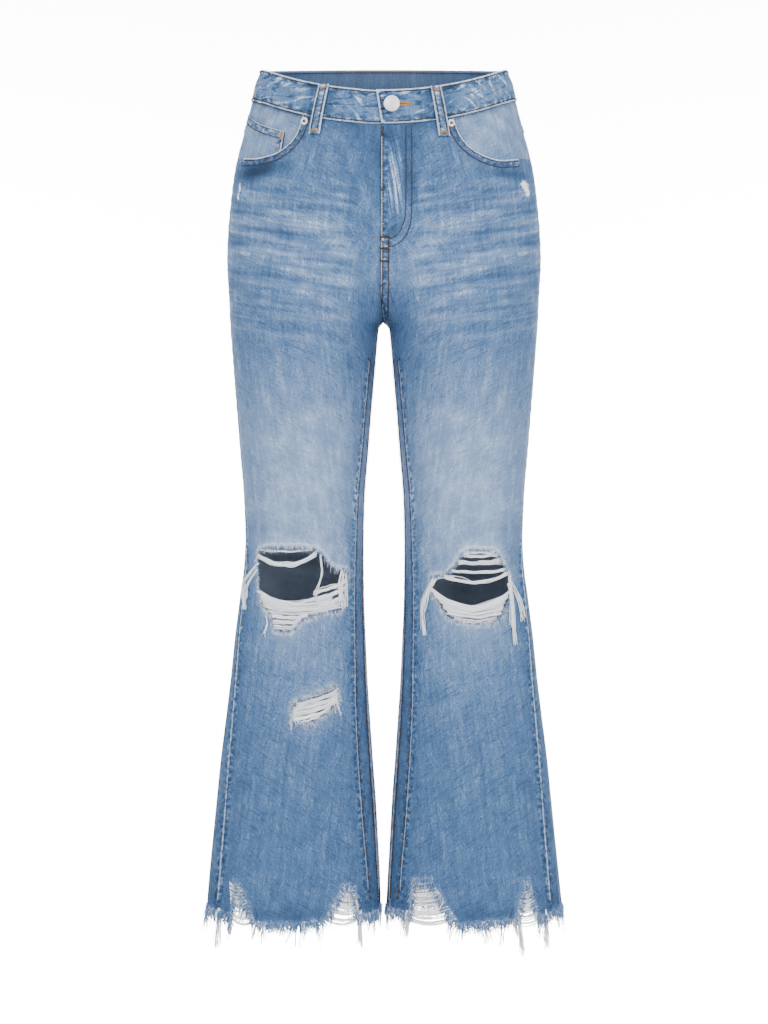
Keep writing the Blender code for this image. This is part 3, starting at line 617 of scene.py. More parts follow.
@dataclass(frozen=True)
class Denim:
    """Washed twill: an indigo warp over a white weft, with soft creases, a fine grain and upright slubs."""

    name: str = "washed denim"
    crinkle: float = 0.17
    crease: Flat = (14.0, 1.5)
    turns: tuple[float, float, float] = (-1.2, -1.95, -0.5)
    grain: float = 0.42
    stops: tuple[tuple[float, tuple[int, int, int]], ...] = (
        (0.0, (37, 54, 78)),
        (0.3, (54, 79, 112)),
        (0.5, (68, 96, 134)),
        (0.65, (86, 112, 148)),
        (0.8, (111, 134, 167)),
        (0.92, (137, 160, 190)),
        (1.0, (178, 192, 211)),
    )

    def build(self) -> Finish:
        """Makes the material."""
        graph = Graph(self.name, 0.88)
        at = graph.uv()
        tone = graph.value("tone")
        seam = graph.value("seam")
        fold = graph.value("fold")
        streak = graph.noise(at, (0.5, 0.07), 4.0, 0.66)
        slub = graph.noise(at, (0.2, 0.014), 3.0, 0.6, 31.0)
        cloud = graph.noise(at, (0.05, 0.04), 4.0, 0.62, 11.0)
        grain = graph.noise(at, (0.62, 0.52), 1.0, 0.6, 5.0)
        worn = tone.ramp(0.95, 0.55)
        rough = (worn * 0.7 + 0.3) * (tone.ramp(0.1, 0.4) * 0.6 + 0.4)
        size = self.crease[0]
        either = graph.noise(at, (0.3 / size, 0.4 / size), 1.0, 0.5, 83.0).ramp(0.44, 0.56)
        one = graph.slashes(at, self.turns[0], self.crease, 17.0) * either
        two = graph.slashes(at, self.turns[1], self.crease, 61.0) * (1.0 - either)
        pale = one + two
        deep = graph.slashes(at, self.turns[2], self.crease, 29.0)
        marks = (pale - deep * 1.2) * graph.value("inside").ramp(0.1, 0.0)
        tilted = graph.node("ShaderNodeMapping", at, None, (0.0, 0.0, -0.17))
        whisk = graph.noise(tilted, (0.01, 0.1), 2.0, 0.6, 43.0)
        streaked = fold.ramp(0.0, 1.0)
        upright = graph.noise(at, (0.34, 0.014), 3.0, 0.6, 53.0)
        base = tone + (streak - 0.5) * 0.3 * rough + (slub - 0.5) * 0.34 * rough + (cloud - 0.5) * 0.3
        base = base + (grain - 0.5) * self.grain * rough + (marks - 0.1) * self.crinkle * rough
        base = base + (whisk - 0.5) * streaked * 0.9 + (upright - 0.52) * fold.ramp(0.0, -1.0) * 1.9
        pucker = graph.noise(at, (0.15, 0.23), 2.0, 0.5, 71.0)
        by_seam = seam.ramp(11.0, 4.0)
        # beside seams the cloth is mottled pale and dark, partly seam roping from washing, and darker on the
        # whole: painted shade beside the raised seams
        base = base + (pucker - 0.56) * by_seam * 1.6
        edge = seam.ramp(1.7, 0.7) * graph.noise(at, (0.3, 0.15), 2.0, 0.5, 23.0).ramp(0.22, 0.4)
        base = base + edge * 0.85
        colour = graph.gradient(base, self.stops)
        rub = (graph.value("rub") + (grain - 0.5) * 0.9 + (streak - 0.5) * 0.5).ramp(0.42, 0.62)
        colour = graph.mix(colour, screen((232, 236, 243)), rub)
        colour = graph.mix(colour, screen((160, 174, 193)), graph.value("inside") * 0.92)
        twill = graph.node("ShaderNodeTexWave", at, wave_type="BANDS", bands_direction="DIAGONAL", output=1)
        twill.out.node.inputs["Scale"].default_value = 0.34
        relief = streak * 0.4 + twill * 0.18 + marks * 0.15 + pucker * by_seam * 1.6 + whisk * streaked
        return graph.finish(colour, relief, 0.0008)


@dataclass(frozen=True)
class Yarn:
    """Loose cotton yarn, from white to dyed."""

    name: str
    plain: tuple[int, int, int]
    dyed: tuple[int, int, int]

    def build(self) -> Finish:
        """Makes the material."""
        graph = Graph(self.name, 0.92)
        return graph.finish(graph.mix(screen(self.plain), screen(self.dyed), graph.value("dye")))


@dataclass(frozen=True)
class Plain:
    """A finish of one colour."""

    name: str
    colour: tuple[int, int, int]
    roughness: float = 0.9
    metallic: float = 0.0

    def build(self) -> Finish:
        """Makes the material."""
        graph = Graph(self.name, self.roughness, self.metallic)
        return graph.finish(screen(self.colour))


@dataclass(frozen=True)
class Pocketing:
    """Thin plain-woven pocket cloth."""

    name: str = "pocketing"

    def build(self) -> Finish:
        """Makes the material."""
        graph = Graph(self.name, 0.9)
        cloud = graph.noise(graph.uv(), (0.08, 0.08), 3.0)
        return graph.finish(graph.mix(screen((196, 192, 182)), screen((224, 221, 213)), cloud))


@dataclass(frozen=True)
class Metal:
    """Matte silver, mottled with paler spots."""

    name: str = "matte silver"
    low: tuple[int, int, int] = (206, 207, 210)
    high: tuple[int, int, int] = (243, 243, 244)

    def build(self) -> Finish:
        """Makes the material."""
        graph = Graph(self.name, 0.42, 0.4)
        at = graph.node("ShaderNodeTexCoord", output=3)
        spots = graph.node("ShaderNodeTexNoise", at)
        spots.out.node.inputs["Scale"].default_value = 900.0
        return graph.finish(graph.mix(screen(self.low), screen(self.high), spots), spots, 0.0002)


# Cloth


@dataclass
class Seam:
    """A seam or a turned edge on the pattern: it is raised on one side and puckers the cloth beside it."""

    line: Array
    width: float = 9.0
    rise: float = 0.8
    soft: float = 0.0


@dataclass
class WashAndShade:
    """How pale the cloth is at each place, from washing and from painted shade: 0 is unworn indigo, 1 is
    nearly white.
    """

    rows: tuple[tuple[float, float, float, float], ...]
    spots: tuple[tuple[float, float, float, float, float], ...] = ()
    strokes: tuple[Fold, ...] = ()

    def __call__(self, shape: Shape, side: int, across: Array, height: Array) -> Array:
        """The paleness of one side's cloth.

        Args:
            shape: the garment's shape.
            side: 1 for the wearer's left, -1 for the right.
            across: places across the pattern.
            height: heights in mm.

        Returns:
            Values from 0 to 1.
        """
        outer, middle, inner = (Column(self.rows, i)(height) for i in (1, 2, 3))
        w = np.cos(math.pi + across / shape.round)
        # the middle is paler than the side and the inner edge: partly less faded cloth, partly painted shade
        # where the leg rounds away
        edge = np.where(w < 0, outer, inner)
        tone = edge + (middle - edge) * bell(w, 0.84, 4.5)
        x = shape.surface(side, across, height)[..., 0]
        for *place, amount in self.spots:
            tone = tone + amount * blot(x, height, place[:2], place[2:])
        # pale strokes are faded by washing; dark ones are painted shade in the folds' troughs, and painted
        # shadow along the fly's edge
        for fold in self.strokes:
            if side == fold.side:
                along, near_line = fold.parts(across, height)
                tone = tone + fold.rise * (np.clip(1.1 - along**2.4, 0, 1) * near_line)
        return tone


def real_length(lay: Lay, start: Flat, stop: Flat) -> float:
    """The length in mm of a straight line on the pattern, once it is laid on the garment."""
    share = np.linspace(0, 1, 400)
    a, h = (one + (two - one) * share for one, two in zip(start, stop))
    return float(np.linalg.norm(np.diff(lay(a, h), axis=0), axis=1).sum())


def add_mesh(name: str, points: Array, faces: list, finish: Finish) -> Piece:
    """Makes a mesh object from points in mm."""
    mesh = bpy.data.meshes.new(name)
    mesh.from_pydata((np.asarray(points) * MM).tolist(), [], faces)
    mesh.polygons.foreach_set("use_smooth", [True] * len(mesh.polygons))
    mesh.materials.append(finish)
    made = bpy.data.objects.new(name, mesh)
    bpy.context.scene.collection.objects.link(made)
    return made


def add_value(mesh: bpy.types.Mesh, name: str, values: Array) -> None:
    """Gives the mesh one number a point, for its material."""
    made = mesh.attributes.new(name, "FLOAT", "POINT")
    made.data.foreach_set("value", np.ascontiguousarray(values, dtype=np.float32))


@dataclass
class Tailor:
    """Cuts cloth pieces from flat outlines and lays them on the garment."""

    shape: Shape
    finishes: dict[str, Finish]

    def leg(self, side: int, depth: float = 0.0) -> Lay:
        """The way a piece lies on one leg, a depth in mm inside the cloth's face."""
        return lambda a, h, out=0.0: self.shape.place(side, a, h, np.asarray(out) - depth)

    def flat(self, side: int, rows: Iterable[Flat]) -> Array:
        """Points of x and height, seen from in front, as places on the pattern."""
        rows = np.array(list(rows), float)
        x, z = rows[:, 0], rows[:, 1]
        return pairs(self.shape.across_at(side, x - self.shape.fly_shift(x, z), z), z)

    def curve(self, side: int, line: Iterable[Flat]) -> Array:
        """A smooth curve through points of x and height, as places on the pattern."""
        return self.flat(side, rounded(np.array(list(line))))

    def beside(self, side: int, line: Array, away: float) -> Array:
        """A line on the pattern, moved sideways by a real distance in mm, to the left of its run."""
        a, h = line[:, 0], line[:, 1]
        gap = self.shape.surface(side, a + 0.5, h) - self.shape.surface(side, a - 0.5, h)
        scale = np.linalg.norm(gap, axis=1)
        run = np.gradient(line, axis=0)
        real = directions(pairs(run[:, 0] * scale, run[:, 1]))
        return line + away * pairs(-real[:, 1] / scale, real[:, 0])

    def cloth(
        self,
        name: str,
        ring: Array,
        lay: Lay,
        tone: Spread,
        seams: Sequence[Seam] = (),
        step: float = FINE,
        wall: float = CLOTH,
        holes: Sequence[Array] = (),
        finish: str = "denim",
        inner_tone: float = 0.2,
        inner_grey: float = 0.0,
        uv: Spread | None = None,
        rub: Spread = even(0.0),
        fold: Spread = even(0.0),
    ) -> Piece:
        """Cuts one piece of cloth and lays it.

        Args:
            name: the piece's name.
            ring: its outline on the pattern.
            lay: turns a place on the pattern and a distance outside it into a point, in mm.
            tone: how pale it is at each place.
            seams: raised seams on it.
            step: the size of its faces, in mm.
            wall: its thickness in mm.
            holes: outlines cut out of it.
            finish: the finish's name.
            inner_tone: how pale its inner face is; the dark default is painted shade inside the garment,
                since denim's weft side is paler.
            inner_grey: how far its inner face is the plain weft side.
            uv: the flat places in mm, where they aren't the pattern's own.
            rub: how far it is rubbed through to white.
            fold: how far it is streaked, across where above 0 and upright where below 0.

        Returns:
            The piece.
        """
        rings = [resampled(np.asarray(loop, float), step, closed=True) for loop in (ring, *holes)]
        places, faces = triangles(rings, step)
        a, h = places[:, 0], places[:, 1]
        reach = np.full(len(places), FAR)
        ridge = np.zeros(len(places))
        real = pairs(self.shape.arc(a, h), h)
        for seam in seams:
            line = resampled(seam.line, 12.0)
            away = distance(real, pairs(self.shape.arc(line[:, 0], line[:, 1]), line[:, 1]))
            reach = np.minimum(reach, away + seam.soft)
            ridge = np.maximum(ridge, seam.rise * np.clip((seam.width + 1.2 - away) / 2.4, 0, 1))
        outer = lay(a, h, ridge)
        inner = lay(a, h, -wall)
        corners = outer[faces]
        facing = np.cross(corners[:, 1] - corners[:, 0], corners[:, 2] - corners[:, 0])
        outward = (outer - inner)[faces].mean(axis=1)
        if float(np.sum(facing * outward)) < 0:
            faces = faces[:, ::-1]
        n = len(places)
        used = np.concatenate([faces[:, [0, 1]], faces[:, [1, 2]], faces[:, [2, 0]]])
        known = set(map(tuple, used.tolist()))
        borders = [(one, two) for one, two in known if (two, one) not in known]
        skins = faces.tolist() + (faces[:, ::-1] + n).tolist()
        rims = [[two, one, one + n, two + n] for one, two in borders]
        made = add_mesh(name, np.vstack([outer, inner]), skins + rims, self.finishes[finish])
        mesh = made.data
        smooth = [True] * len(skins) + [False] * len(rims)
        mesh.polygons.foreach_set("use_smooth", smooth)
        values = (
            ("tone", tone(a, h), inner_tone), ("seam", reach, FAR), ("rub", rub(a, h), 0.0),
            ("fold", fold(a, h), 0.0), ("inside", np.zeros(n), inner_grey),
        )
        for value, outer_values, inner_value in values:
            add_value(mesh, value, np.concatenate([outer_values, np.full(n, inner_value)]))
        layer = mesh.uv_layers.new(name="pattern")
        spread = real if uv is None else uv(a, h)
        uvs = np.tile(spread * MM, (2, 1))
        loops = np.empty(len(mesh.loops), np.int32)
        mesh.loops.foreach_get("vertex_index", loops)
        layer.data.foreach_set("uv", uvs[loops].astype(np.float32).ravel())
        mesh.validate()
        log.info("%s: %d faces", name, len(mesh.polygons))
        return made


# Stitches and yarns


@dataclass
class Strands:
    """Collects thin yarns and makes them as one mesh of small tubes."""

    sides: int = 4
    points: list[Array] = field(default_factory=list)
    faces: list[list[int]] = field(default_factory=list)
    dyes: list[Array] = field(default_factory=list)
    count: int = 0

    def add(self, lines: Array, radius: Array | float, dye: Array | float, taper: float) -> None:
        """Adds yarns that have the same number of points.

        Args:
            lines: points in mm, as (yarns, points, 3).
            radius: one radius a yarn, in mm.
            dye: one dye a yarn, from 0 to 1.
            taper: the share of the radius at each yarn's last point.
        """
        yarns, n, _ = lines.shape
        radius = np.broadcast_to(np.asarray(radius, float), (yarns,))
        dye = np.broadcast_to(np.asarray(dye, float), (yarns,))
        along = directions(np.gradient(lines, axis=1))
        up = np.where(np.abs(along[..., [1]]) < 0.8, np.array([0.0, 1.0, 0.0]), np.array([1.0, 0.0, 0.0]))
        one = directions(np.cross(along, up))
        two = np.cross(along, one)
        turn = np.arange(self.sides) * 2 * math.pi / self.sides
        size = radius[:, None] * np.linspace(1, taper, n)[None, :]
        ring = one[:, :, None] * np.cos(turn)[:, None] + two[:, :, None] * np.sin(turn)[:, None]
        made = lines[:, :, None] + ring * size[:, :, None, None]
        self.points.append(made.reshape(-1, 3))
        self.dyes.append(np.repeat(dye, n * self.sides))
        base = self.count + np.arange(yarns)[:, None, None] * n * self.sides
        row = np.arange(n - 1)[None, :, None] * self.sides
        k = np.arange(self.sides)[None, None, :]
        here, after = base + row + k, base + row + (k + 1) % self.sides
        quads = np.stack([here, after, after + self.sides, here + self.sides], axis=-1)
        self.faces.extend(quads.reshape(-1, 4)[:, ::-1].tolist())
        caps = self.count + np.arange(yarns)[:, None] * n * self.sides + np.arange(self.sides)[None, :]
        self.faces.extend(caps.tolist())
        self.faces.extend((caps + (n - 1) * self.sides)[:, ::-1].tolist())
        self.count += yarns * n * self.sides

    def build(self, name: str, finish: Finish) -> Piece:
        """Makes the yarns' mesh."""
        made = add_mesh(name, np.vstack(self.points), self.faces, finish)
        add_value(made.data, "dye", np.concatenate(self.dyes))
        log.info("%s: %d faces", name, len(self.faces))
        return made


@dataclass
class Yarns:
    """Loose yarns on one side of the garment, all made with one run of random draws."""

    shape: Shape
    side: int
    chance: Chance
    strands: Strands = field(default_factory=Strands)

    def lay(
        self, xs: Array, zs: Array, out: float, scatter: float, thin: float, fat: float, lift: float = 0.0
    ) -> None:
        """Lays yarns given as x and height, seen from the front."""
        chance, (count, n) = self.chance, zs.shape
        across = self.shape.across_at(self.side, xs, zs)
        depth = out + chance.normal(0, scatter, (count, 1)) + lift * np.linspace(0, 1, n)
        lines = self.shape.place(self.side, across, zs, np.broadcast_to(depth, zs.shape))
        dyed = chance.random(count) < 0.24
        dye = np.where(dyed, chance.uniform(0.15, 0.5, count), chance.uniform(0, 0.1, count))
        self.strands.add(lines, chance.uniform(thin, fat, count), dye, 0.8)

    def bundle(self, bundle: "Bundle") -> None:
        """Yarns that run together across a rip and sag."""
        chance, n = self.chance, 15
        t = np.linspace(0, 1, n)
        count = int(bundle.count * 1.15)
        spread = chance.uniform(-0.36, 0.36, count) * bundle.thick
        fan = 1 + 0.7 * (2 * t - 1) ** 4
        x = bundle.start[0] + (bundle.stop[0] - bundle.start[0]) * t
        z = bundle.start[1] + (bundle.stop[1] - bundle.start[1]) * t - bundle.sag * 4 * t * (1 - t)
        loose = np.where(chance.random((count, 1)) < 0.14, 1.5, 0.3)
        wobble = loose * chance.normal(0, 1, (count, 1))
        wobble = wobble * np.sin(2 * math.pi * t * chance.uniform(0.5, 1.6, (count, 1)))
        rope = 0.35 * np.sin(t * 17.0 + bundle.start[1]) + 0.3 * np.sin(t * 7.0 + bundle.stop[1])
        zs = z + rope + spread[:, None] * fan + wobble + chance.normal(0, 0.1, (count, n))
        self.lay(np.broadcast_to(x, zs.shape), zs, bundle.out - 0.4, 0.6, 0.24, 0.56)

    def tail(self, count: int, line: Sequence[Flat]) -> None:
        """Yarns that hang together from a rip, along a line seen from the front."""
        chance, points = self.chance, rounded(np.array(line))
        t = np.linspace(0, 1, len(points))
        curl = 0.8 * np.sin(7.0 * t + chance.uniform(0, 6.3, (count, 1))) * t
        xs = points[:, 0] + curl + chance.normal(0, 0.9, (count, 1)) * (0.4 + t)
        xs = xs + chance.normal(0, 0.2, (count, len(points)))
        zs = points[:, 1] - chance.uniform(-4.5, 3.5, (count, 1)) * t
        self.lay(xs, zs, 0.7, 0.7, 0.28, 0.5, lift=1.8)

    def fuzz(
        self, ring: Array, count: int, length: float, outward: bool = False, closed: bool = True,
        thick: float = 1.0, dyed: Flat = (0.88, 0.55),
    ) -> None:
        """Short broken fibres along a cut edge.

        Args:
            ring: the edge on the pattern.
            count: how many fibres.
            length: their usual length, in mm.
            outward: whether they lie on the cloth, out from the edge's hole.
            closed: whether the edge goes round a hole; otherwise it is a hem, and they point down.
            thick: how many times the usual thickness.
            dyed: the share that is dyed, and the least dye of those.
        """
        chance = self.chance
        line = resampled(ring, 0.7, closed=closed)
        spots = chance.integers(1, len(line) - 2, count)
        base = line[spots]
        run = directions(line[spots + 1] - line[spots - 1])
        away = pairs(run[:, 1], -run[:, 0])
        probe = base + away * 1.5
        hit = inside(probe, ring) if closed else probe[:, 1] < base[:, 1]
        away = np.where((hit != outward)[:, None], away, -away)
        way = away + run * chance.normal(0, 0.55, (count, 1))
        size = (length * chance.uniform(0.35, 1.35, count) ** 1.3)[:, None]
        t = np.linspace(0, 1, 4)
        bend = chance.normal(0, 0.6, count)[:, None]
        a = base[:, [0]] - away[:, [0]] * 0.8 + way[:, [0]] * size * t + (bend * t**2)
        h = base[:, [1]] - away[:, [1]] * 0.8 + way[:, [1]] * size * t - 0.25 * size * t**2
        out = chance.uniform(-0.9 + outward, 0.4 + outward, (count, 1))
        out = out + chance.uniform(0, 1.6, (count, 1)) * t
        blue = chance.random(count) < dyed[0]
        dye = np.where(blue, chance.uniform(dyed[1], 1.0, count), chance.uniform(0.0, 0.35, count))
        lines = self.shape.place(self.side, a, h, out)
        self.strands.add(lines, thick * chance.uniform(0.2, 0.44, count), dye, 0.35)

    def across_notch(self, span: tuple, low: float) -> None:
        """Bare yarns across a notch in a hem, from its top down to the low height."""
        chance, (foot, top, other_top, other_foot, height) = self.chance, span
        count = 92
        rows = np.sort(chance.uniform(0.0, 1.0, count))
        rows = np.clip(rows + 0.016 * np.sin(rows * 50.0), 0.0, 1.0)
        one = top + (foot - top) * rows
        two = other_top + (other_foot - other_top) * np.clip(rows + chance.normal(0.05, 0.02, count), 0, 1)
        z0 = height + (low - height) * rows
        z1 = height + (low - height) * np.clip(rows + chance.normal(0.08, 0.03, count), 0, 1.1)
        t = np.linspace(0, 1, 9)
        a = one[:, None] + (two - one)[:, None] * t
        h = z0[:, None] + (z1 - z0)[:, None] * t - (1.5 + 5 * rows[:, None] ** 2) * 4 * (t * (1 - t))
        h = h + chance.normal(0, 0.14, h.shape)
        out = np.broadcast_to(chance.uniform(-1.2, 0.6, (count, 1)), h.shape)
        dye = np.where(chance.random(count) < 0.12, 0.5, 0.03)
        lines = self.shape.place(self.side, a, h, out)
        self.strands.add(lines, chance.uniform(0.26, 0.56, count), dye, 0.9)

    def hang(self, spots: Array, size: Array, dyed: float, curl: float) -> None:
        """Yarns of given sizes that hang down from places on the pattern."""
        chance, count = self.chance, len(spots)
        t = np.linspace(0, 1, 7)
        lean = (3.0 * np.sin(spots[:, 0] / 9.0) + chance.normal(0, 1.4, count))[:, None]
        wave = chance.uniform(0, 6.3, (count, 1))
        a = spots[:, [0]] + lean * t**1.5 + curl * 0.5 * np.sin(wave + 5.0 * t) * t
        h = spots[:, [1]] + 1.2 - (size[:, None] + 1.2) * t
        out = chance.uniform(-1.1, 0.2, (count, 1)) + t * chance.normal(0.4, 1.3, (count, 1))
        out = out + 0.4 * np.sin(wave + 4 * t) * t
        blue = chance.random(count) < dyed
        dye = np.where(blue, chance.uniform(0.5, 1.0, count), chance.uniform(0.0, 0.2, count))
        lines = self.shape.place(self.side, a, h, out)
        self.strands.add(lines, chance.uniform(0.3, 0.6, count), dye, 0.6)


@dataclass
class Stitcher:
    """Sews rows of stitches on the cloth."""

    pitch: float = 3.4
    share: float = 0.74
    radius: float = 0.58
    strands: Strands = field(default_factory=Strands)

    def row(
        self, line: Array, lay: Lay, out: float = 0.25, pitch: float | None = None, size: float = 1.0
    ) -> None:
        """One row along a line on the pattern."""
        pitch = pitch or self.pitch
        fine = resampled(np.asarray(line, float), 1.0)
        points = lay(fine[:, 0], fine[:, 1], out)
        length = np.concatenate([[0], np.cumsum(np.linalg.norm(np.diff(points, axis=0), axis=1))])
        starts = np.arange(0.5, length[-1] - pitch, pitch)
        if not len(starts):
            return
        shares = np.array([0.0, 0.18, 0.5, 0.82, 1.0]) * pitch * self.share
        at = starts[:, None] + shares[None, :]
        a, h = (np.interp(at, length, fine[:, i]) for i in (0, 1))
        dip = np.array([-0.45, 0.1, 0.22, 0.1, -0.45]) + out
        lines = lay(a.ravel(), h.ravel(), np.tile(dip, len(starts))).reshape(len(starts), 5, 3)
        self.strands.add(lines, self.radius * size, 0.0, taper=1.0)

    def tack(self, centre: Flat, along: Flat, lay: Lay, out: float, rows: int = 9) -> None:
        """A short dense bar of thread; along is its half length and direction on the pattern."""
        start = np.array(centre) - along
        step = 2 * np.array(along) / (rows - 1)
        cross = np.array([-along[1], along[0]]) / math.hypot(*along) * 0.95
        for i in range(rows):
            spot = start + step * i
            pair = np.array([spot - cross, spot, spot + cross])
            lines = lay(pair[:, 0], pair[:, 1], np.array([0.0, 0.35, 0.0]) + out)[None]
            self.strands.add(lines, math.hypot(*step) * 0.62, 0.0, taper=1.0)


# The garment's sizes

# The front pocket mouths, seen from the front: distance from the middle and height, in mm
MOUTHS = {
    -1: ((87, -42), (88.7, -48), (94, -61), (101.7, -71), (116, -80.4), (136, -84.2), (152, -82.5)),
    1: ((74.5, -45), (76, -50), (82, -63.7), (92, -75.2), (107, -83.5), (124.7, -87.4), (145, -84.5)),
}
# Steps above and below the crotch where a panel's edge has a point, in mm
ABOVE_CROTCH = (0.0, 0.7, 2.2, 5.0, 9.0, 15.0, 23.0, 33.0, 46.0, 62.0, 84.0, 110.0, 136.0)
BELOW_CROTCH = (0.02, 1.0, 2.0, 3.5, 6.0, 11.0)
# The curved rows of stitches on the fly, seen from the front
FLY_CURVES = (
    ((29.4, -54), (29.6, -100), (29.4, -146), (27.6, -161), (22, -174), (12, -182), (-1, -185.5)),
    ((23, -54), (23.2, -100), (23, -144), (21.4, -156), (16.4, -168), (8, -175), (-1, -178.5)),
)
# The strip behind the fly: distance from the middle and height, in mm
FLY_STRIP = (
    (-24, -54), (0, -54), (21, -54), (21, -120), (16, -154), (7, -172), (-7, -175), (-19, -168), (-24, -152),
)
# The patch pocket's corners on the pattern
BACK_POCKET = np.array([(47, -82), (132, -87), (128, -206), (90, -228), (54, -202)])
# The band's height on its own pattern, where that begins before the front's middle, and how far it laps under
BAND_TALL, BAND_START, BAND_LAP = 34.0, -4.2, 25.0
# A waist edge's gap to the band, in mm
WAIST_GAP = 0.4
# The belt loops: node, side, whether in front, and the distance from the middle and height of both ends
LOOPS = (
    ("belt_loop_front_right", -1, True, 64.1, -8.5, 74.4, -62),
    ("belt_loop_front_left", 1, True, 55.1, -11, 64.3, -64.5),
    ("belt_loop_side_right", -1, False, 112, 19, 116, -32),
    ("belt_loop_side_left", 1, False, 112, 19, 116, -32),
)
LOOP_WIDE = 12.0
BUTTON = (7.2, -31.2)
# Rows of radius and height in mm, from the lowest outer edge to the middle of the top
BUTTON_RINGS = (
    (2.3, -2.6), (2.3, 0.7), (7.6, 0.9), (8.7, 1.6), (8.7, 2.3), (8, 3.1), (7.2, 3.5), (6.9, 3.2),
    (5.6, 3.7), (3.4, 4.15), (1.2, 4.3),
)
RIVET_RINGS = ((3.8, 0.3), (4.2, 0.7), (3.9, 1.4), (3.4, 1.7), (2.5, 1.7), (2.2, 1), (1, 0.9))
PIN_RINGS = ((1.9, 0.6), (1.9, 1.15), (1.5, 1.4), (0.6, 1.5))
# The rivets: the node, the side, the distance from the middle and the height
RIVETS = (("rivet_right", -1, 85.4, -47.5), ("rivet_left", 1, 71.9, -50))
# The even hem's height at the side seam, and how far the front's and the back's fall below it, in mm
HEM_SIDE = -900.5
HEM_FALL = {True: 11.5, False: 8.0}
# Distances from the middle at a notch's outer foot, outer top, inner top and inner foot, and its top's height
NOTCHES = {
    (-1, True): ((166, 167.5, 157, 140.5, -868.5), (65.5, 44, 31.5, 29.5, -873)),
    (1, True): ((169, 157, 151, 142, -866.5), (80, 51.5, 31.5, 29, -865.5)),
    (-1, False): ((118, 110, 92, 86, -880),),
    (1, False): ((92, 84, 66, 58, -884),),
}
# Where yarns hang together from a front hem: the distance from the middle and their length, in mm
TASSELS = {-1: ((180, 46), (26, 41)), 1: ((26, 30), (146, 44), (176, 44))}


@dataclass(frozen=True)
class Bundle:
    """Loose yarns that run together across a rip, in mm as seen from the front."""

    start: Flat
    stop: Flat
    sag: float
    thick: float
    count: int
    out: float = 0.0


@dataclass(frozen=True)
class Rip:
    """A worn hole: rows of x, top and bottom, the yarns left across it and those that hang from its ends."""

    node: str
    side: int
    rows: tuple[tuple[float, float, float], ...]
    bundles: tuple[Bundle, ...]
    hanging: tuple[tuple[int, tuple[Flat, ...]], ...] = ()


KNEE_RIGHT = Rip(
    "knee_threads_right",
    -1,
    (
        (-137, -515, -529), (-134, -507.5, -564), (-122, -506.5, -581), (-118.5, -506.5, -595),
        (-108, -506.4, -597), (-97, -506.4, -595), (-92, -506.4, -587), (-80.5, -507, -582),
        (-69, -511.5, -577.5), (-55, -527, -575.5), (-46, -530, -573), (-41, -530.5, -546),
        (-38.5, -531.5, -535),
    ),
    (
        Bundle((-135, -508.5), (-78, -508), 1.5, 2.2, 9),
        Bundle((-136.5, -515), (-73, -512), 11.5, 3.6, 22, 0.5),
        Bundle((-137, -553), (-73, -560), 9, 3, 18, 0.6),
        Bundle((-136, -557), (-56, -562), 8.5, 4, 22),
        Bundle((-134, -562), (-50, -565), 7.5, 4.6, 24),
        Bundle((-131, -567.5), (-46, -568), 6, 3.2, 18, 0.4),
        Bundle((-127, -574), (-60, -574), 3.6, 3, 14),
        Bundle((-123, -579.5), (-82, -579), 2.6, 4, 18),
        Bundle((-121, -586), (-90, -585), 1.6, 4, 16),
        Bundle((-120.5, -592), (-94, -591), 1, 4.6, 15),
        Bundle((-76, -555), (-41, -541), 2, 4, 16, 0.6),
        Bundle((-74, -562), (-40, -549), 2, 6, 24),
        Bundle((-72, -569), (-41, -558), 2, 6, 20),
        Bundle((-66, -574), (-42, -567), 1, 4, 14),
    ),
    (
        (13, ((-136, -523), (-146, -536), (-151.5, -547), (-149.6, -572))),
        (9, ((-137, -530), (-146, -545), (-148.5, -560))),
        (5, ((-127, -580), (-125.5, -590), (-128, -600))),
        (4, ((-68.6, -513), (-67, -536), (-73.6, -561))),
        (7, ((-46, -530), (-49.5, -546), (-44.5, -570))),
        (6, ((-44, -532), (-46.5, -550), (-48.5, -566))),
        (7, ((-42, -534), (-42, -549), (-43.5, -571))),
    ),
)
KNEE_LEFT = Rip(
    "knee_threads_left",
    1,
    (
        (50, -541, -551), (53, -537, -557), (66, -535, -577.5), (73, -529, -583.5), (80, -519, -585.5),
        (88, -510, -586.8), (100, -509, -588), (113, -509.6, -587.6), (121, -511, -585.5), (127, -520, -581),
        (133, -530.5, -570), (136, -535.5, -557), (137.8, -541, -548),
    ),
    (
        Bundle((86, -510.5), (120, -511), 0.6, 2.6, 10),
        Bundle((84, -514.6), (123, -514), 1, 3.2, 14),
        Bundle((80, -522), (127, -520.5), 1.4, 4.2, 20),
        Bundle((73, -530.5), (131, -530), 2.4, 2.4, 14, 0.5),
        Bundle((65, -537), (135, -533.5), 8, 3, 20, 0.7),
        Bundle((53, -538.5), (76, -536), 1, 2.4, 8),
        Bundle((51, -551), (136.5, -553.5), 17.5, 3, 18, 0.6),
        Bundle((54, -556.5), (134, -559), 14.5, 4.4, 24),
        Bundle((60, -563), (131, -564), 10, 4, 22),
        Bundle((64, -570), (129, -570.5), 7.2, 4.2, 22, 0.4),
        Bundle((68, -577), (127, -577), 3.2, 3, 16),
        Bundle((76, -582.5), (122, -582.5), 2.4, 3, 14),
        Bundle((84, -586), (117, -586), 1.4, 2, 9),
    ),
    (
        (12, ((54, -539), (46, -556), (42.7, -572), (44.8, -599))),
        (9, ((56, -541), (48.5, -556), (45.5, -574))),
        (9, ((135, -536), (139, -572), (141, -609))),
        (9, ((135.5, -540), (145, -560), (150.7, -584))),
        (7, ((134, -545), (137, -566), (136, -590))),
    ),
)
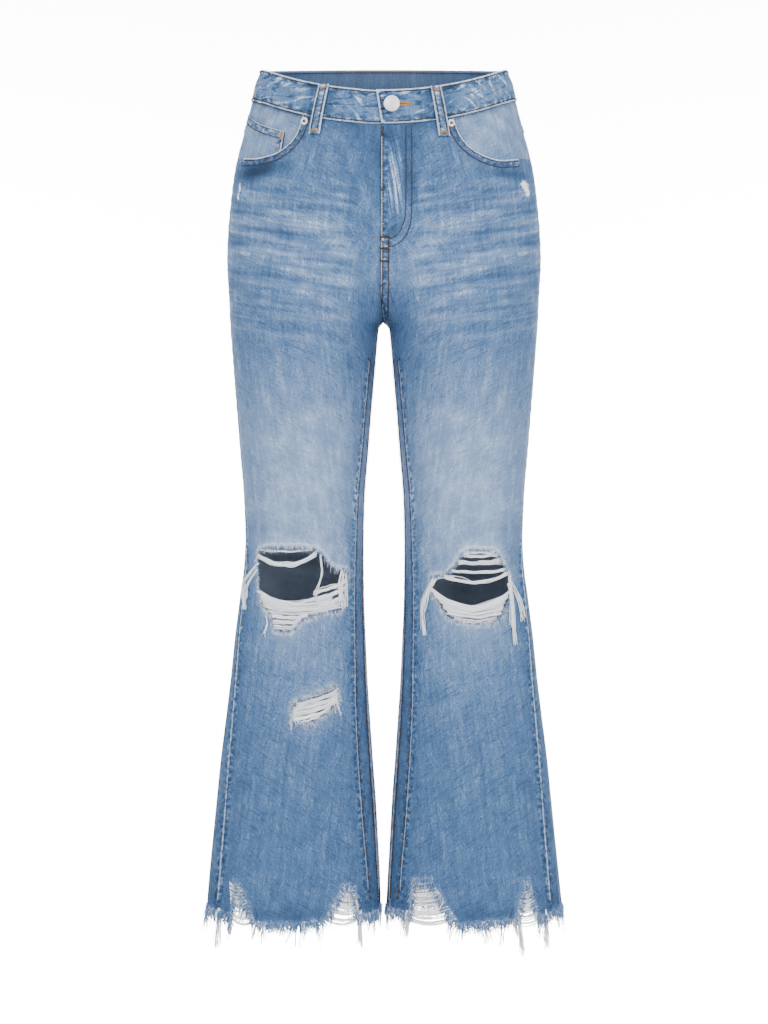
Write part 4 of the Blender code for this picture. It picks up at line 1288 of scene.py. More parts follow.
SHIN_RIGHT = Rip(
    "shin_threads_right",
    -1,
    (
        (-100, -680, -690), (-97, -673, -695), (-80, -667.5, -696.5), (-67.6, -661, -690), (-55, -656, -680),
        (-49.5, -663, -673),
    ),
    (
        Bundle((-88, -669), (-53, -657), 1, 3.4, 15),
        Bundle((-95, -675.5), (-51, -661.5), 2, 4.4, 20, 0.4),
        Bundle((-99, -681), (-50, -666.5), 2.2, 4.6, 22),
        Bundle((-99, -687), (-50.5, -672), 2, 4.8, 22, 0.4),
        Bundle((-98, -692), (-58, -680.5), 1.6, 4.2, 18),
        Bundle((-94, -695), (-70, -689), 0.8, 2.6, 10),
    ),
    (
        (4, ((-51, -664), (-52.5, -672), (-48.5, -690))),
        (6, ((-97, -687), (-101, -693), (-99, -700))),
    ),
)

# Paleness by height: at the side, in the middle and at the inner edge, from 0 for indigo to 1 for white
# The darker side and inner edge are partly less faded cloth, partly painted shade where the leg rounds away
FRONT_WASH_AND_SHADE = (
    (20, 0.55, 0.57, 0.5), (-60, 0.56, 0.57, 0.46), (-110, 0.58, 0.59, 0.46), (-160, 0.6, 0.66, 0.46),
    (-210, 0.6, 0.68, 0.46), (-250, 0.58, 0.64, 0.44), (-290, 0.57, 0.63, 0.47), (-340, 0.63, 0.74, 0.58),
    (-400, 0.7, 0.85, 0.65), (-460, 0.72, 0.86, 0.66), (-505, 0.6, 0.81, 0.6), (-560, 0.5, 0.66, 0.5),
    (-610, 0.44, 0.65, 0.46), (-660, 0.4, 0.6, 0.44), (-740, 0.41, 0.5, 0.43), (-820, 0.4, 0.48, 0.41),
    (-870, 0.38, 0.47, 0.39), (-892, 0.34, 0.43, 0.36), (-903, 0.26, 0.3, 0.28), (-908, 0.34, 0.34, 0.34),
    (-916, 0.7, 0.7, 0.7),
)
# On the back too, the darker side and inner edge, darkest by the crotch, are partly less faded cloth, partly
# painted shade
BACK_WASH_AND_SHADE = (
    (20, 0.5, 0.52, 0.5), (-60, 0.5, 0.54, 0.46), (-120, 0.56, 0.68, 0.5), (-180, 0.6, 0.78, 0.5),
    (-240, 0.56, 0.66, 0.36), (-320, 0.54, 0.66, 0.4), (-420, 0.52, 0.64, 0.44), (-520, 0.46, 0.52, 0.44),
    (-640, 0.44, 0.5, 0.42), (-780, 0.44, 0.5, 0.4), (-870, 0.38, 0.42, 0.34), (-892, 0.28, 0.3, 0.26),
    (-905, 0.3, 0.32, 0.3), (-916, 0.5, 0.5, 0.5),
)
# x, height, their reaches and the change in paleness
FRONT_SPOTS = (
    (-141, -101, 19, 8, -0.6), (-122, -94, 20, 6, -0.35), (136, -103, 20, 5, -0.4),
    (-4, -250, 26, 30, -0.04), (-20, -110, 16, 70, -0.08), (0, -120, 46, 70, -0.13),
    (0, -80, 120, 26, -0.04), (-86, -612, 40, 20, 0.08), (96, -606, 40, 22, 0.08), (-76, -700, 30, 14, 0.06),
    (34, -62, 10, 16, -0.14), (-34, -60, 12, 14, -0.1), (30, -205, 20, 16, 0.08),
)
# x, height, both reaches of the places rubbed through to white
RUBBED = ((152.6, -112, 5, 5), (156, -121, 3, 4.5), (-157, -114, 1.2, 7), (-159, -124, 1, 5))
# Strokes beside the fly: the side, distance from the middle and height of both ends, half width, fade and
# bow; the first, darkest stroke is painted shadow along the fly's edge
BESIDE_FLY = (
    (-1, 8.5, -60, 7, -196, 3.6, -0.34, 0), (-1, 28, -62, 9, -176, 1.8, 0.14, 3),
    (-1, 44, -60, 16, -196, 2, 0.12, 4), (-1, 60, -76, 34, -150, 2.2, 0.1, 3),
    (1, 9, -56, 9, -72, 5, -0.22, 0), (1, 23, -56, 23, -150, 2.4, -0.22, 0),
    (1, 31, -60, 33, -150, 3, -0.16, 0), (1, 15, -76, 15, -152, 5.5, 0.2, 0),
    (1, 54, -60, 40, -176, 2.2, 0.12, -4), (1, 12, -160, 12, -176, 5, -0.2, 0),
)
# Whiskers: distance from the middle and height of both ends, then half width, fade and bow, in mm; a negative
# fade is painted shade in a fold's trough
WHISKERS = (
    (58, -112, 138, -105, 4, 0.1, -2), (38, -131, 160, -119, 4.6, 0.16, -3),
    (52, -146, 148, -135, 3.6, 0.14, -3), (28, -161, 162, -150, 4.8, 0.18, -4),
    (46, -176, 150, -165, 3.6, 0.17, -4), (26, -191, 163, -181, 5, 0.19, -4),
    (40, -207, 146, -198, 3.8, 0.17, -3), (24, -223, 160, -216, 5.2, 0.18, -3),
    (40, -241, 150, -238, 4.4, 0.15, -2), (28, -262, 142, -262, 5.4, 0.12, 0),
    (50, -282, 130, -284, 5, 0.08, 1), (40, -138, 150, -127, 2.4, -0.14, -3),
    (40, -153, 152, -142, 2.2, -0.15, -3), (30, -169, 156, -158, 2.4, -0.18, -4),
    (34, -184, 150, -173, 2.2, -0.17, -4), (30, -199, 156, -189, 2.6, -0.2, -4),
    (32, -215, 150, -207, 2.6, -0.18, -3), (30, -232, 152, -227, 2.8, -0.17, -2),
    (34, -252, 146, -250, 3.2, -0.14, -1), (40, -272, 136, -273, 3.4, -0.1, 0),
)
# Folds: distance from the middle and height of both ends, then half width, rise and bow, in mm
FRONT_FOLDS = (
    (70, -300, 78, -480, 16, 1.2, 5), (112, -290, 118, -500, 13, -1.3, -4), (34, -290, 52, -440, 8, -1.4, 3),
    (60, -470, 128, -490, 7, 1.2, 6), (48, -496, 100, -484, 6, -1.1, 3), (56, -612, 132, -604, 8, -1.3, -6),
    (60, -634, 118, -622, 7, 1, -5), (66, -620, 58, -880, 11, 1.5, 6), (104, -610, 112, -890, 13, -1.6, -6),
    (140, -640, 158, -890, 10, 1.4, 3), (34, -640, 26, -880, 8, -1.2, -3), (80, -720, 90, -900, 10, 1.2, 4),
    (20, -60, 26, -150, 5, 0.9, 2), (44, -70, 52, -170, 8, -0.8, 3),
)
BACK_FOLDS = (
    (18, -232, 132, -214, 9, -2.2, 10), (22, -252, 124, -246, 8, 1.8, 9), (26, -276, 120, -276, 8, -1.6, 7),
    (40, -120, 120, -150, 20, 1.5, 8), (70, -300, 76, -470, 15, 1.2, -4), (36, -500, 142, -486, 7, -2, 5),
    (34, -520, 140, -512, 7, 2, 4), (40, -542, 136, -538, 7, -2, -3), (38, -562, 140, -566, 7, 1.8, -4),
    (46, -586, 132, -596, 8, -1.6, -5), (64, -620, 56, -880, 12, 1.6, 5),
    (108, -620, 118, -885, 13, -1.7, -5), (150, -640, 166, -885, 10, 1.4, 3),
    (30, -650, 24, -880, 8, -1.2, 2),
)


# The garment


def seen(shape: Shape, side: int, x: float, height: float, front: bool = True) -> Flat:
    """The pattern place of one point, from its distance from the middle."""
    return float(shape.across_at(side, np.array([side * x]), np.array([height]), front)[0]), height


def folded(shape: Shape, side: int, row: Sequence[float], front: bool = True, shift: float = 0.0) -> Fold:
    """A fold from a row of a table, with its ends moved together by a shift so that the sides differ."""
    x0, z0, x1, z1, width, rise, bow = row
    start = seen(shape, side, x0 + shift, z0 + 2 * shift, front)
    return Fold(start, seen(shape, side, x1 - shift, z1 + shift, front), width, rise, bow, side)


def creases(shape: Shape) -> tuple[Fold, ...]:
    """The soft folds that the cloth falls into, alike on both sides and on the back."""
    found: list[Fold] = []
    for side in (1, -1):
        for *ends, width, fade, bow in WHISKERS:
            row = (*ends, width * 1.4, 0.75 * math.copysign(1, fade), bow)
            found.append(folded(shape, side, row))
        for rows, front in ((FRONT_FOLDS, True), (BACK_FOLDS, False)):
            found.extend(folded(shape, side, row, front, 3.0 * side) for row in rows)
    return tuple(found)


def strokes(shape: Shape) -> tuple[Fold, ...]:
    """The front's pale and dark strokes: whiskers, pale from washing and dark with painted shade in the
    folds' troughs, and strokes beside the fly, the darkest one painted shadow along its edge.
    """
    found: list[Fold] = []
    for side in (1, -1):
        for x0, z0, x1, z1, width, fade, bow in WHISKERS:
            strength = fade * (0.62 + 0.2 * math.sin(z0 * 1.7 + side))
            row = (x0, z0 - 4, x1, z1 + 4, width, strength, bow + 2 * math.sin(z0 + side))
            found.append(folded(shape, side, row))
    found.extend(folded(shape, side, row) for side, *row in BESIDE_FLY)
    return tuple(found)


class Jeans:
    """The whole garment's looks, piece by piece."""

    def __init__(self, finishes: dict[str, Finish]) -> None:
        """Takes the finishes by name, and makes the shape, its folds and its paleness from washing and
        painted shade.
        """
        self.shape = Shape()
        self.shape.folds = creases(self.shape)
        self.finishes = finishes
        self.tailor = Tailor(self.shape, finishes)
        self.thread = Stitcher()
        self.gold = Stitcher(radius=0.46)
        self.worn = Stitcher(17.0, 1.0, 0.24)
        self.washes_and_shade = {True: WashAndShade(FRONT_WASH_AND_SHADE, FRONT_SPOTS, strokes(self.shape)), False: WashAndShade(BACK_WASH_AND_SHADE)}
        self.rips = {1: (KNEE_LEFT,), -1: (KNEE_RIGHT, SHIN_RIGHT)}

    # Outlines

    def heights(self, low: float, high: float) -> list[float]:
        """Heights along a panel's edge, from high to low, closer together by the crotch."""
        crotch = self.shape.crotch
        rows = [crotch + up for up in ABOVE_CROTCH] + [crotch - down for down in BELOW_CROTCH]
        rows += [crotch - 20.0 - 12.0 * i for i in range(60)] + [crotch + 150.0 + 14.0 * i for i in range(12)]
        return sorted((h for h in rows if low + 2 < h < high - 2), reverse=True)

    def hem_height(self, across: Array | float, front: bool) -> Array:
        """The height of the even hem at a place on the pattern."""
        return HEM_SIDE - HEM_FALL[front] * np.sin(np.asarray(across) / self.shape.round) ** 2

    def hem(self, side: int, front: bool) -> tuple[Array, list[tuple]]:
        """The hem from the side seam to the inseam, chewed and uneven, and its notches."""
        shape = self.shape
        start = shape.side_edge(HEM_SIDE, front)
        stop = shape.middle_edge(HEM_SIDE - 4, front)
        way = 1.0 if stop > start else -1.0
        spans = []
        for outer_foot, outer_top, inner_top, inner_foot, top in NOTCHES[(side, front)]:
            low = HEM_SIDE - HEM_FALL[front]
            feet = [seen(shape, side, x, low, front)[0] for x in (outer_foot, inner_foot)]
            tops = [seen(shape, side, x, top, front)[0] for x in (outer_top, inner_top)]
            spans.append((feet[0], tops[0], tops[1], feet[1], top))
        spans.sort(key=lambda span: abs(span[0] - start))

        def even_at(a: float) -> Flat:
            """A point of the even hem."""
            return a, float(self.hem_height(a, front))

        points = [even_at(start)]
        for foot, corner, other_corner, other_foot, top in spans:
            points += [even_at(foot), (corner, top), (other_corner, top - 1.5), even_at(other_foot)]
        points.append(even_at(stop))
        line = resampled(np.array(points), 3.0)
        flat = np.array([not any(min(s[0], s[3]) <= a <= max(s[0], s[3]) for s in spans) for a, _ in line])
        line[:, 1] = np.where(flat, self.hem_height(line[:, 0], front), line[:, 1])
        a = line[:, 0] + 7 * side
        chewed = 1.1 * np.sin(a / 2.9) * np.sin(a / 13.0 + 1)
        chewed = chewed + 1.5 * np.sin(a / 21.0 + side) + 0.8 * np.sin(a / 1.7)
        inner = np.ones(len(line))
        inner[[0, -1]] = 0.0
        line[:, 1] += inner * (chewed + 0.6)
        line[:, 0] += inner * way * 0.7 * np.sin(line[:, 1] / 1.9)
        return line, spans

    def rip_ring(self, rip: Rip) -> Array:
        """A rip's outline on the pattern, with a chewed edge."""
        tops = [(x, top) for x, top, _ in rip.rows]
        bottoms = [(x, bottom) for x, _, bottom in rip.rows]
        ring = rounded(np.array(tops + bottoms[::-1]), closed=True)
        turn = np.arange(len(ring))
        ring = ring + 0.55 * pairs(np.sin(turn * 2.1), np.sin(turn * 1.7 + 1) + 0.6 * np.sin(turn * 0.7))
        return self.tailor.flat(rip.side, ring)

    def mouth(self, side: int) -> Array:
        """A front pocket's mouth on the pattern, from the waist to the side."""
        flat = self.tailor.curve(side, [(side * x, z) for x, z in MOUTHS[side]])
        low = float(self.shape.band_edge(BAND_BOTTOM, flat[0, 0])) - WAIST_GAP
        return flat[flat[:, 1] < low - 0.5] if flat[0, 1] > low else flat

    def waist_line(self, places: Array) -> Array:
        """The top edge of a piece that is sewn to the waistband."""
        return pairs(places, self.shape.band_edge(BAND_BOTTOM, places) - WAIST_GAP)

    def edge_line(self, edge: Callable[[float, bool], float], front: bool, low: float, high: float) -> Array:
        """A panel's edge from high to low, where edge gives its place at each height."""
        return np.array([(edge(h, front), h) for h in self.heights(low, high)])

    def line_at(self, side: int, x: Array, heights: Array) -> Array:
        """A line on a front, from its places to the left and right of the garment's middle."""
        return pairs(self.shape.across_at(side, x, heights), heights)

    def inseam_strip(self, side: int, low: Array) -> Array:
        """The outer edge of the felled strip beside the inseam."""
        reach = low[low[:, 1] < -300.0, 1]
        away = Column(INSEAM_ROWS, 2)(reach)
        return self.line_at(side, side * (self.shape.inner(reach) + away + 1.6), reach)

    # Finishing a piece

    def dress(self, piece: Piece, slot: str, *nodes: str) -> None:
        """Ties a piece to the frame and hides the solids that it stands for."""
        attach(piece, "root")
        if nodes:
            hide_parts(*nodes)

    def declare(self, piece: Piece, held: Held) -> None:
        """States the flat cut of a cloth piece, measured on its own pattern."""
        mesh = piece.data
        half = len(mesh.vertices) // 2
        points = np.empty(len(mesh.vertices) * 3, np.float32)
        mesh.vertices.foreach_get("co", points)
        points = points.reshape(-1, 3)
        uv = np.empty(len(mesh.loops) * 2, np.float32)
        mesh.uv_layers["pattern"].data.foreach_get("uv", uv)
        uv = uv.reshape(-1, 2)
        width, length = (float(v) for v in uv.max(axis=0) - uv.min(axis=0))
        area = sum(p.area for p in mesh.polygons if max(p.vertices) < half)
        log.info("cut of %s: %.0f x %.0f mm, %.0f cm2", piece.name, width * 1e3, length * 1e3, area * 1e4)

    def hang_from_band(self, piece: Piece, node: str, slot: str = "denim") -> None:
        """Finishes a sheet of cloth that is sewn to the waistband."""
        self.dress(piece, slot, node)
        self.declare(piece, Held.HUNG)

    def sew_on(self, piece: Piece, node: str, *rests: str) -> None:
        """Finishes a sheet of cloth that is sewn flat on another."""
        self.dress(piece, "denim", node)
        self.declare(piece, Held.STRETCHED)

    # Panels

    def front_panel(self, side: int) -> None:
        """One leg's front, with its pocket mouth, rips, seams and stitches."""
        shape, word = self.shape, Side(side).word
        lay = self.tailor.leg(side)
        mouth = self.mouth(side)
        top = self.waist_line(np.linspace(float(mouth[0, 0]), shape.middle_edge(-52.0, True), 24))
        hem, _ = self.hem(side, True)
        seam = self.edge_line(shape.middle_edge, True, hem[-1, 1], -56.0)
        flank = self.edge_line(shape.side_edge, True, hem[0, 1], -81.0)[::-1]
        ring = np.vstack([top, seam, hem[::-1], flank, [(shape.side_edge(-80.0, True), -80.0)], mouth[:0:-1]])
        rings = [self.rip_ring(rip) for rip in self.rips[side]]
        high = seam[seam[:, 1] > shape.crotch]
        low = seam[seam[:, 1] < shape.crotch - 3]
        strip = self.inseam_strip(side, low)
        seams = [Seam(mouth, 8.4, 0.9), Seam(flank, 5.0, 0.5, 0.35), Seam(strip, 5.0, 0.5, 2.0)]
        seams += [Seam(high, 7.0, 0.8)] if side == 1 else []

        def tone(a: Array, h: Array) -> Array:
            """How pale the piece is at each place, with painted shade under the waistband."""
            pale = self.washes_and_shade[True](shape, side, a, h)
            for loop in rings:
                away = near(a, h, closed_line(loop))
                pale = pale + 0.42 * bell(away, 3.6) + 0.1 * bell(away, 14.0)
            # painted shade: the panel is darker just under the waistband's edge
            pale = pale - 0.2 * bell(near(a, h, top), 6.0)
            return pale + 0.4 * bell(near(a, h, hem), 2.6)

        def fold(a: Array, h: Array) -> Array:
            """How far the cloth is streaked at each place."""
            x = shape.surface(side, a, h)[..., 0]
            across = np.where(h > -200.0, bell(h + 200.0, 100.0, 6), bell(h + 200.0, 80.0, 2.4))
            across = across * np.clip((np.abs(x) - 22.0) / 26.0, 0, 1)
            return across - bell(x - 11.0, 8.5, 4) * bell(h + 108.0, 46.0, 4)

        def rub(a: Array, h: Array) -> Array:
            """How far the cloth is rubbed through at each place."""
            x = shape.surface(side, a, h)[..., 0]
            return sum(blot(x, h, place[:2], place[2:]) for place in RUBBED)

        piece = self.tailor.cloth(f"front_{word}", ring, lay, tone, seams, holes=rings, rub=rub, fold=fold)
        self.hang_from_band(piece, f"front_panel_{word}")
        turn = -1.0 if self.cloth_on_right(mouth, ring) else 1.0
        for away in (2.2, 8.0):
            self.thread.row(self.tailor.beside(side, mouth, turn * away), lay, 1.0)
        self.inseam_rows(side, lay, low)
        if side == 1:
            self.fly_rows(side, lay)

    def inseam_rows(self, side: int, lay: Lay, low: Array) -> None:
        """The two rows of stitches beside the inseam, each with a worn edge beside it."""
        reach = low[(low[:, 1] < -300.0) & (low[:, 1] > -905.0), 1]
        for column, worn in ((1, -1.3), (2, 1.6)):
            x = side * (self.shape.inner(reach) + Column(INSEAM_ROWS, column)(reach))
            self.thread.row(self.line_at(side, x, reach), lay, 0.7, size=0.9)
            self.worn.row(self.line_at(side, x + side * worn, reach), lay, 1.0)

    def fly_rows(self, side: int, lay: Lay) -> None:
        """The rows beside the front's middle, the fly's curved rows and the bars across its foot."""
        for x, top in ((-1.4, -54.0), (4.8, -172.0)):
            rows = [(x, z) for z in np.linspace(top, -256.0, 30)]
            self.thread.row(self.tailor.flat(side, rows), lay, 0.9, size=1.1)
        for line in FLY_CURVES:
            self.thread.row(self.tailor.curve(side, line), lay, 0.3)
        for z in (-174.0, -186.0, -199.0):
            self.thread.tack(self.tailor.flat(side, [(0.6, z)])[0], (2.6, 0.0), lay, 0.9, rows=8)

    def cloth_on_right(self, line: Array, ring: Array) -> bool:
        """Whether the cloth in a ring lies to the right of a line's run."""
        here = line[len(line) // 2]
        run = line[len(line) // 2 + 1] - here
        probe = here + 2.0 * np.array([run[1], -run[0]]) / np.linalg.norm(run)
        return bool(inside(probe[None], ring)[0])

    def back_pieces(self, side: int) -> None:
        """One leg's back, its yoke and its patch pocket."""
        shape, word = self.shape, Side(side).word
        lay = self.tailor.leg(side)
        top = shape.middle_edge(-10.0, False)
        hem, _ = self.hem(side, False)
        places = np.linspace(shape.side_edge(-50.0, False), top, 30)
        waist = self.waist_line(places)
        join = pairs(places, -50.0 - 20.0 * places / top)
        middle = self.edge_line(shape.middle_edge, False, hem[-1, 1], -72.0)
        flank = self.edge_line(shape.side_edge, False, hem[0, 1], -51.0)[::-1]

        def tone(a: Array, h: Array) -> Array:
            """How pale the piece is at each place."""
            return self.washes_and_shade[False](shape, side, a, h) + 0.4 * bell(near(a, h, hem), 2.6)

        yoke_ring = np.vstack([waist, (join + (0.0, 0.2))[::-1]])
        seams = [Seam(join, 7.6, 0.7), Seam(waist, 1.0, 0.0)]
        yoke = self.tailor.cloth(f"yoke_{word}", yoke_ring, lay, tone, seams, MIDDLE)
        self.hang_from_band(yoke, f"back_yoke_{word}")
        ring = np.vstack([join - (0.0, 0.2), middle, hem[::-1], flank])
        high = middle[middle[:, 1] > shape.crotch]
        low = middle[middle[:, 1] < shape.crotch - 3]
        seams = [Seam(join, 1.0, 0.0), Seam(flank, 5.0, 0.5, 0.35), Seam(low, 2.0, 0.2)]
        seams += [Seam(high, 7.6, 0.8) if side == 1 else Seam(high, 1.0, 0.0)]
        back = self.tailor.cloth(f"back_{word}", ring, lay, tone, seams, COARSE, inner_grey=1.0)
        self.hang_from_band(back, f"back_panel_{word}")
        for away in (1.6, 7.2):
            self.thread.row(join + (0.0, away), lay, 0.8)
        if side == 1:
            for away in (1.5, 7.4):
                moved = self.tailor.beside(side, high, away)
                if moved[:, 0].mean() >= high[:, 0].mean():
                    moved = self.tailor.beside(side, high, -away)
                self.thread.row(moved, lay, 0.9)
        self.back_pocket(side)

    def back_pocket(self, side: int) -> None:
        """A patch pocket on the seat."""
        word, back_paleness = Side(side).word, self.washes_and_shade[False]
        outline = closed_line(BACK_POCKET)

        def laid(a: Array, h: Array, out: Array | float = 0.0) -> Array:
            """Places on the pattern as points in mm, a distance outside the piece's face."""
            edge = np.clip(near(np.ravel(a), np.ravel(h), outline).reshape(np.shape(a)) / 3.0, 0, 1)
            return self.shape.place(side, a, h, np.asarray(out) + 1.5 + 0.35 * edge)

        def tone(a: Array, h: Array) -> Array:
            """How pale the piece is at each place."""
            return back_paleness(self.shape, side, a, h) + 0.04

        name = f"patch_pocket_{word}"
        piece = self.tailor.cloth(name, BACK_POCKET, laid, tone, [Seam(outline, 6.8, 0.5)], MIDDLE)
        self.sew_on(piece, f"back_pocket_{word}", f"back_{word}")
        for away in (1.5, 7.0):
            inner = self.shrunk(BACK_POCKET, away)
            self.thread.row(closed_line(inner)[1:], laid, 0.7)
        self.thread.row(self.shrunk(BACK_POCKET, 12.0)[:2] + (0.0, -1.0), laid, 0.4)
        for corner in self.shrunk(BACK_POCKET, 4.2)[:2]:
            self.gold.tack(corner, (0.0, 4.2), laid, 0.8)

    def shrunk(self, ring: Array, away: float) -> Array:
        """A closed outline moved inwards."""
        before, after = np.roll(ring, 1, axis=0), np.roll(ring, -1, axis=0)
        one = (ring - before) / np.linalg.norm(ring - before, axis=1, keepdims=True)
        two = (after - ring) / np.linalg.norm(after - ring, axis=1, keepdims=True)
        normal = pairs(one[:, 1] + two[:, 1], -one[:, 0] - two[:, 0])
        scale = 2.0 / np.maximum(0.5, (normal**2).sum(axis=1, keepdims=True))
        probe = ring + normal * scale * away
        centre = ring.mean(axis=0)
        closer = np.linalg.norm(probe - centre, axis=1).mean() < np.linalg.norm(ring - centre, axis=1).mean()
        return probe if closer else ring - normal * scale * away

    def coin_pocket(self, side: int, depth: float) -> None:
        """The small pocket behind one front pocket's mouth."""
        corners = self.tailor.flat(side, [(-109.4, -56.7), (-111.5, -70.0), (-115.5, -98.0)])
        start = (-2.0, float(self.shape.band_edge(BAND_BOTTOM, -2.0)) - 14.0)
        ring = np.vstack([[start], corners, [(-2.0, -99.0)]])
        top, edge = resampled(ring[:2], 4.0), resampled(ring[1:4], 4.0)
        lay = self.sunk(side, depth)
        seams = [Seam(top, 8.6, 0.6), Seam(edge, 3.0, 0.3)]
        piece = self.tailor.cloth("coin_cloth", ring, lay, even(0.8), seams)
        self.sew_on(piece, "coin_pocket", "facing_right")
        for away in (1.2, 8.0):
            self.thread.row(top - (0.0, away), lay, 0.8)
        self.thread.row(edge[2:] + (2.0, 0.0), lay, 0.6)
        self.gold.tack(ring[1] + (1.5, -4.8), (0.0, 3.6), lay, 0.9)

    def pocket_pieces(self, side: int) -> None:
        """The cloth behind a front pocket's mouth, the bag below it, and the coin pocket on one side."""
        word = Side(side).word
        depth = 2.5
        if side == -1:
            self.coin_pocket(side, 3.3)
            depth = 5.8
        inner = seen(self.shape, side, MOUTHS[side][0][0] - 20.0, -60.0)[0]
        waist = self.waist_line(np.linspace(-1.0, inner, 20))

        def tone(a: Array, h: Array) -> Array:
            """How pale the piece is at each place."""
            return 0.8 + 0.06 * np.sin(a / 8.0 + h / 13.0) * np.sin(h / 6.0 + a / 19.0)

        ring = np.vstack([waist, [(inner, -84.0), (inner + 20.0, -112.0), (-1.0, -112.0)]])
        piece = self.tailor.cloth(f"facing_{word}", ring, self.sunk(side, depth), tone)
        self.hang_from_band(piece, f"pocket_facing_{word}")
        foot = [(inner, -120.0), (inner + 4.0, -190.0), (inner + 24.0, -232.0), (inner + 58.0, -232.0)]
        ring = np.vstack([waist, foot, [(-6.0, -190.0), (-3.0, -120.0)]])
        lay = self.tailor.leg(side, depth + 2.5)
        bag = self.tailor.cloth(f"bag_{word}", ring, lay, even(0.0), (), 6.0, BAG_CLOTH, finish="pocketing")
        self.hang_from_band(bag, f"pocket_bag_{word}", "pocket_cloth")

    def sunk(self, side: int, depth: float) -> Lay:
        """The way a piece lies behind a pocket mouth: sunk, but level with the cloth at the side seam."""

        def lay(a: Array, h: Array, out: Array | float = 0.0) -> Array:
            """Places on the pattern as points in mm, a distance outside the piece's face."""
            level = bell(np.asarray(a), 15.0) * np.clip((np.asarray(h) + 83.0) / 8.0, 0, 1)
            return self.shape.place(side, a, h, np.asarray(out) - depth + (depth - 0.2) * level)

        return lay

    def fly(self) -> None:
        """The strip behind the front opening."""

        def lay(x: Array, h: Array, out: Array | float = 0.0) -> Array:
            """Places on the pattern as points in mm, a distance outside the piece's face."""
            side = np.where(x > 0, 1, -1)
            across = self.shape.across_at(side, side * np.maximum(0.2, np.abs(x)), h)
            return self.shape.place(side, across, h, np.asarray(out) - 2.9)

        piece = self.tailor.cloth("fly_cloth", np.array(FLY_STRIP), lay, even(0.4), (), COARSE, uv=pairs)
        self.hang_from_band(piece, "fly_shield")

    # Waistband

    def ring_place(self, across: Array, height: Array, out: Array | float = 0.0) -> Array:
        """Points of the waistband, where across runs round the waist to the wearer's left from the front."""
        ring = self.shape.ring
        turn = np.mod(across, 2 * ring)
        side = np.where(turn < ring, 1, -1)
        along = np.where(side == 1, turn, 2 * ring - turn)
        under = np.clip((np.asarray(across) - (2 * ring - 24.0)) / 18.0, 0, 1)
        lift = 0.6 - 3.3 * under * under * (3 - 2 * under)
        place = along - ring / 2
        place = np.where(place < 0, np.minimum(-1e-4, place), np.maximum(1e-4, place))
        low = self.shape.band_edge(BAND_BOTTOM, place)
        high = self.shape.band_edge(BAND_TOP, place)
        wave = 0.35 * np.sin(across / 9.0) * np.sin(across / 31.0 + 1) * np.sin(math.pi * height / BAND_TALL)
        level = low + (high - low) * height / BAND_TALL
        return self.shape.place(side, place, level, np.asarray(out) + lift + wave)

    def button_place(self) -> Flat:
        """The button's middle on the waistband's own pattern."""
        place, height = seen(self.shape, 1, BUTTON[0] + 3.0, BUTTON[1])
        bottom = float(self.shape.band_edge(BAND_BOTTOM, place))
        top = float(self.shape.band_edge(BAND_TOP, place))
        return place + self.shape.ring / 2, BAND_TALL * (height - bottom) / (top - bottom)

    def waistband(self) -> None:
        """The waistband, its rows of stitches and its buttonhole."""
        around = 2 * self.shape.ring
        last = around + BAND_LAP
        low = pairs(np.linspace(0.2, last, 160), np.zeros(160))
        high = pairs(np.linspace(last, BAND_START, 160), np.full(160, BAND_TALL))
        middle, rise = self.button_place()
        turn = np.linspace(0, 2 * math.pi, 16, endpoint=False)
        hole = pairs(middle + 2.6 * np.cos(turn), rise + 3.0 * np.sin(turn))
        end = np.array([(BAND_START, BAND_TALL), (0.2, 0.0)])
        seams = [Seam(line, 3.0, 0.25) for line in (low, high, end)]

        def tone(u: Array, h: Array) -> Array:
            """How pale the piece is at each place, with painted shadow beside the belt loops."""
            # painted shadow: the band is darker just beside each belt loop, where the loop's shade falls
            dark = sum(bell(np.abs(u - place) - 7.0, 4.0) for place in self.loop_places())
            pale = 0.65 + 0.06 * bell(u - 110.0, 50.0)
            return pale + 0.08 * bell(h - BAND_TALL, 3.0) - 0.28 * np.minimum(dark, 1)

        half = BAND_TALL / 2
        wide = real_length(self.ring_place, (0.0, half), (around, half)) / around
        upright = [real_length(self.ring_place, (u, 0.0), (u, BAND_TALL)) for u in np.linspace(10, 600, 12)]
        tall = np.mean(upright) / BAND_TALL
        piece = self.tailor.cloth(
            "band", np.vstack([low, high]), self.ring_place, tone, seams, wall=BAND_CLOTH, holes=[hole],
            finish="worn", inner_tone=0.34, inner_grey=0.1, uv=lambda u, h: pairs(u * wide, h * tall),
        )
        self.sew_on(piece, "waistband")
        rows = [((2.0, height), (last - 1, height)) for height in (2.2, 31.8)] + [((-1.4, 31.0), (2.2, 3.0))]
        for row in rows:
            self.thread.row(np.array(row), self.ring_place, 0.5)

        def within_band(u: Array, h: Array, out: Array | float = 0.0) -> Array:
            """Places on the pattern as points in mm, a distance outside the piece's face."""
            return self.ring_place(u, h, -np.asarray(out) - 2.5)

        for height in (3.0, 31.0):
            self.thread.row(np.array([(40.0, height), (590.0, height)]), within_band)
        for angle in np.linspace(0, 2 * math.pi, 26)[:-1]:
            unit = np.array([math.cos(angle), math.sin(angle)])
            self.hole_stitch((middle, rise), unit * (3.4, 3.9), unit * (4.9, 5.6))
        for x in np.arange(5.0, 13.5, 0.62):
            for way in (-1, 1):
                self.hole_stitch((middle, rise), (x, way * 0.5), (x, way * (2.6 - 0.1 * x)))

    def hole_stitch(self, middle: Flat, start: Flat, stop: Flat) -> None:
        """One gold stitch beside the buttonhole, whose ends are given from its middle."""
        bar = np.array(middle) + np.array([start, stop])
        points = self.ring_place(bar[:, 0], bar[:, 1], np.array([0.7, 0.6]))
        self.gold.strands.add(points[None], 0.42, 0.0, 1.0)

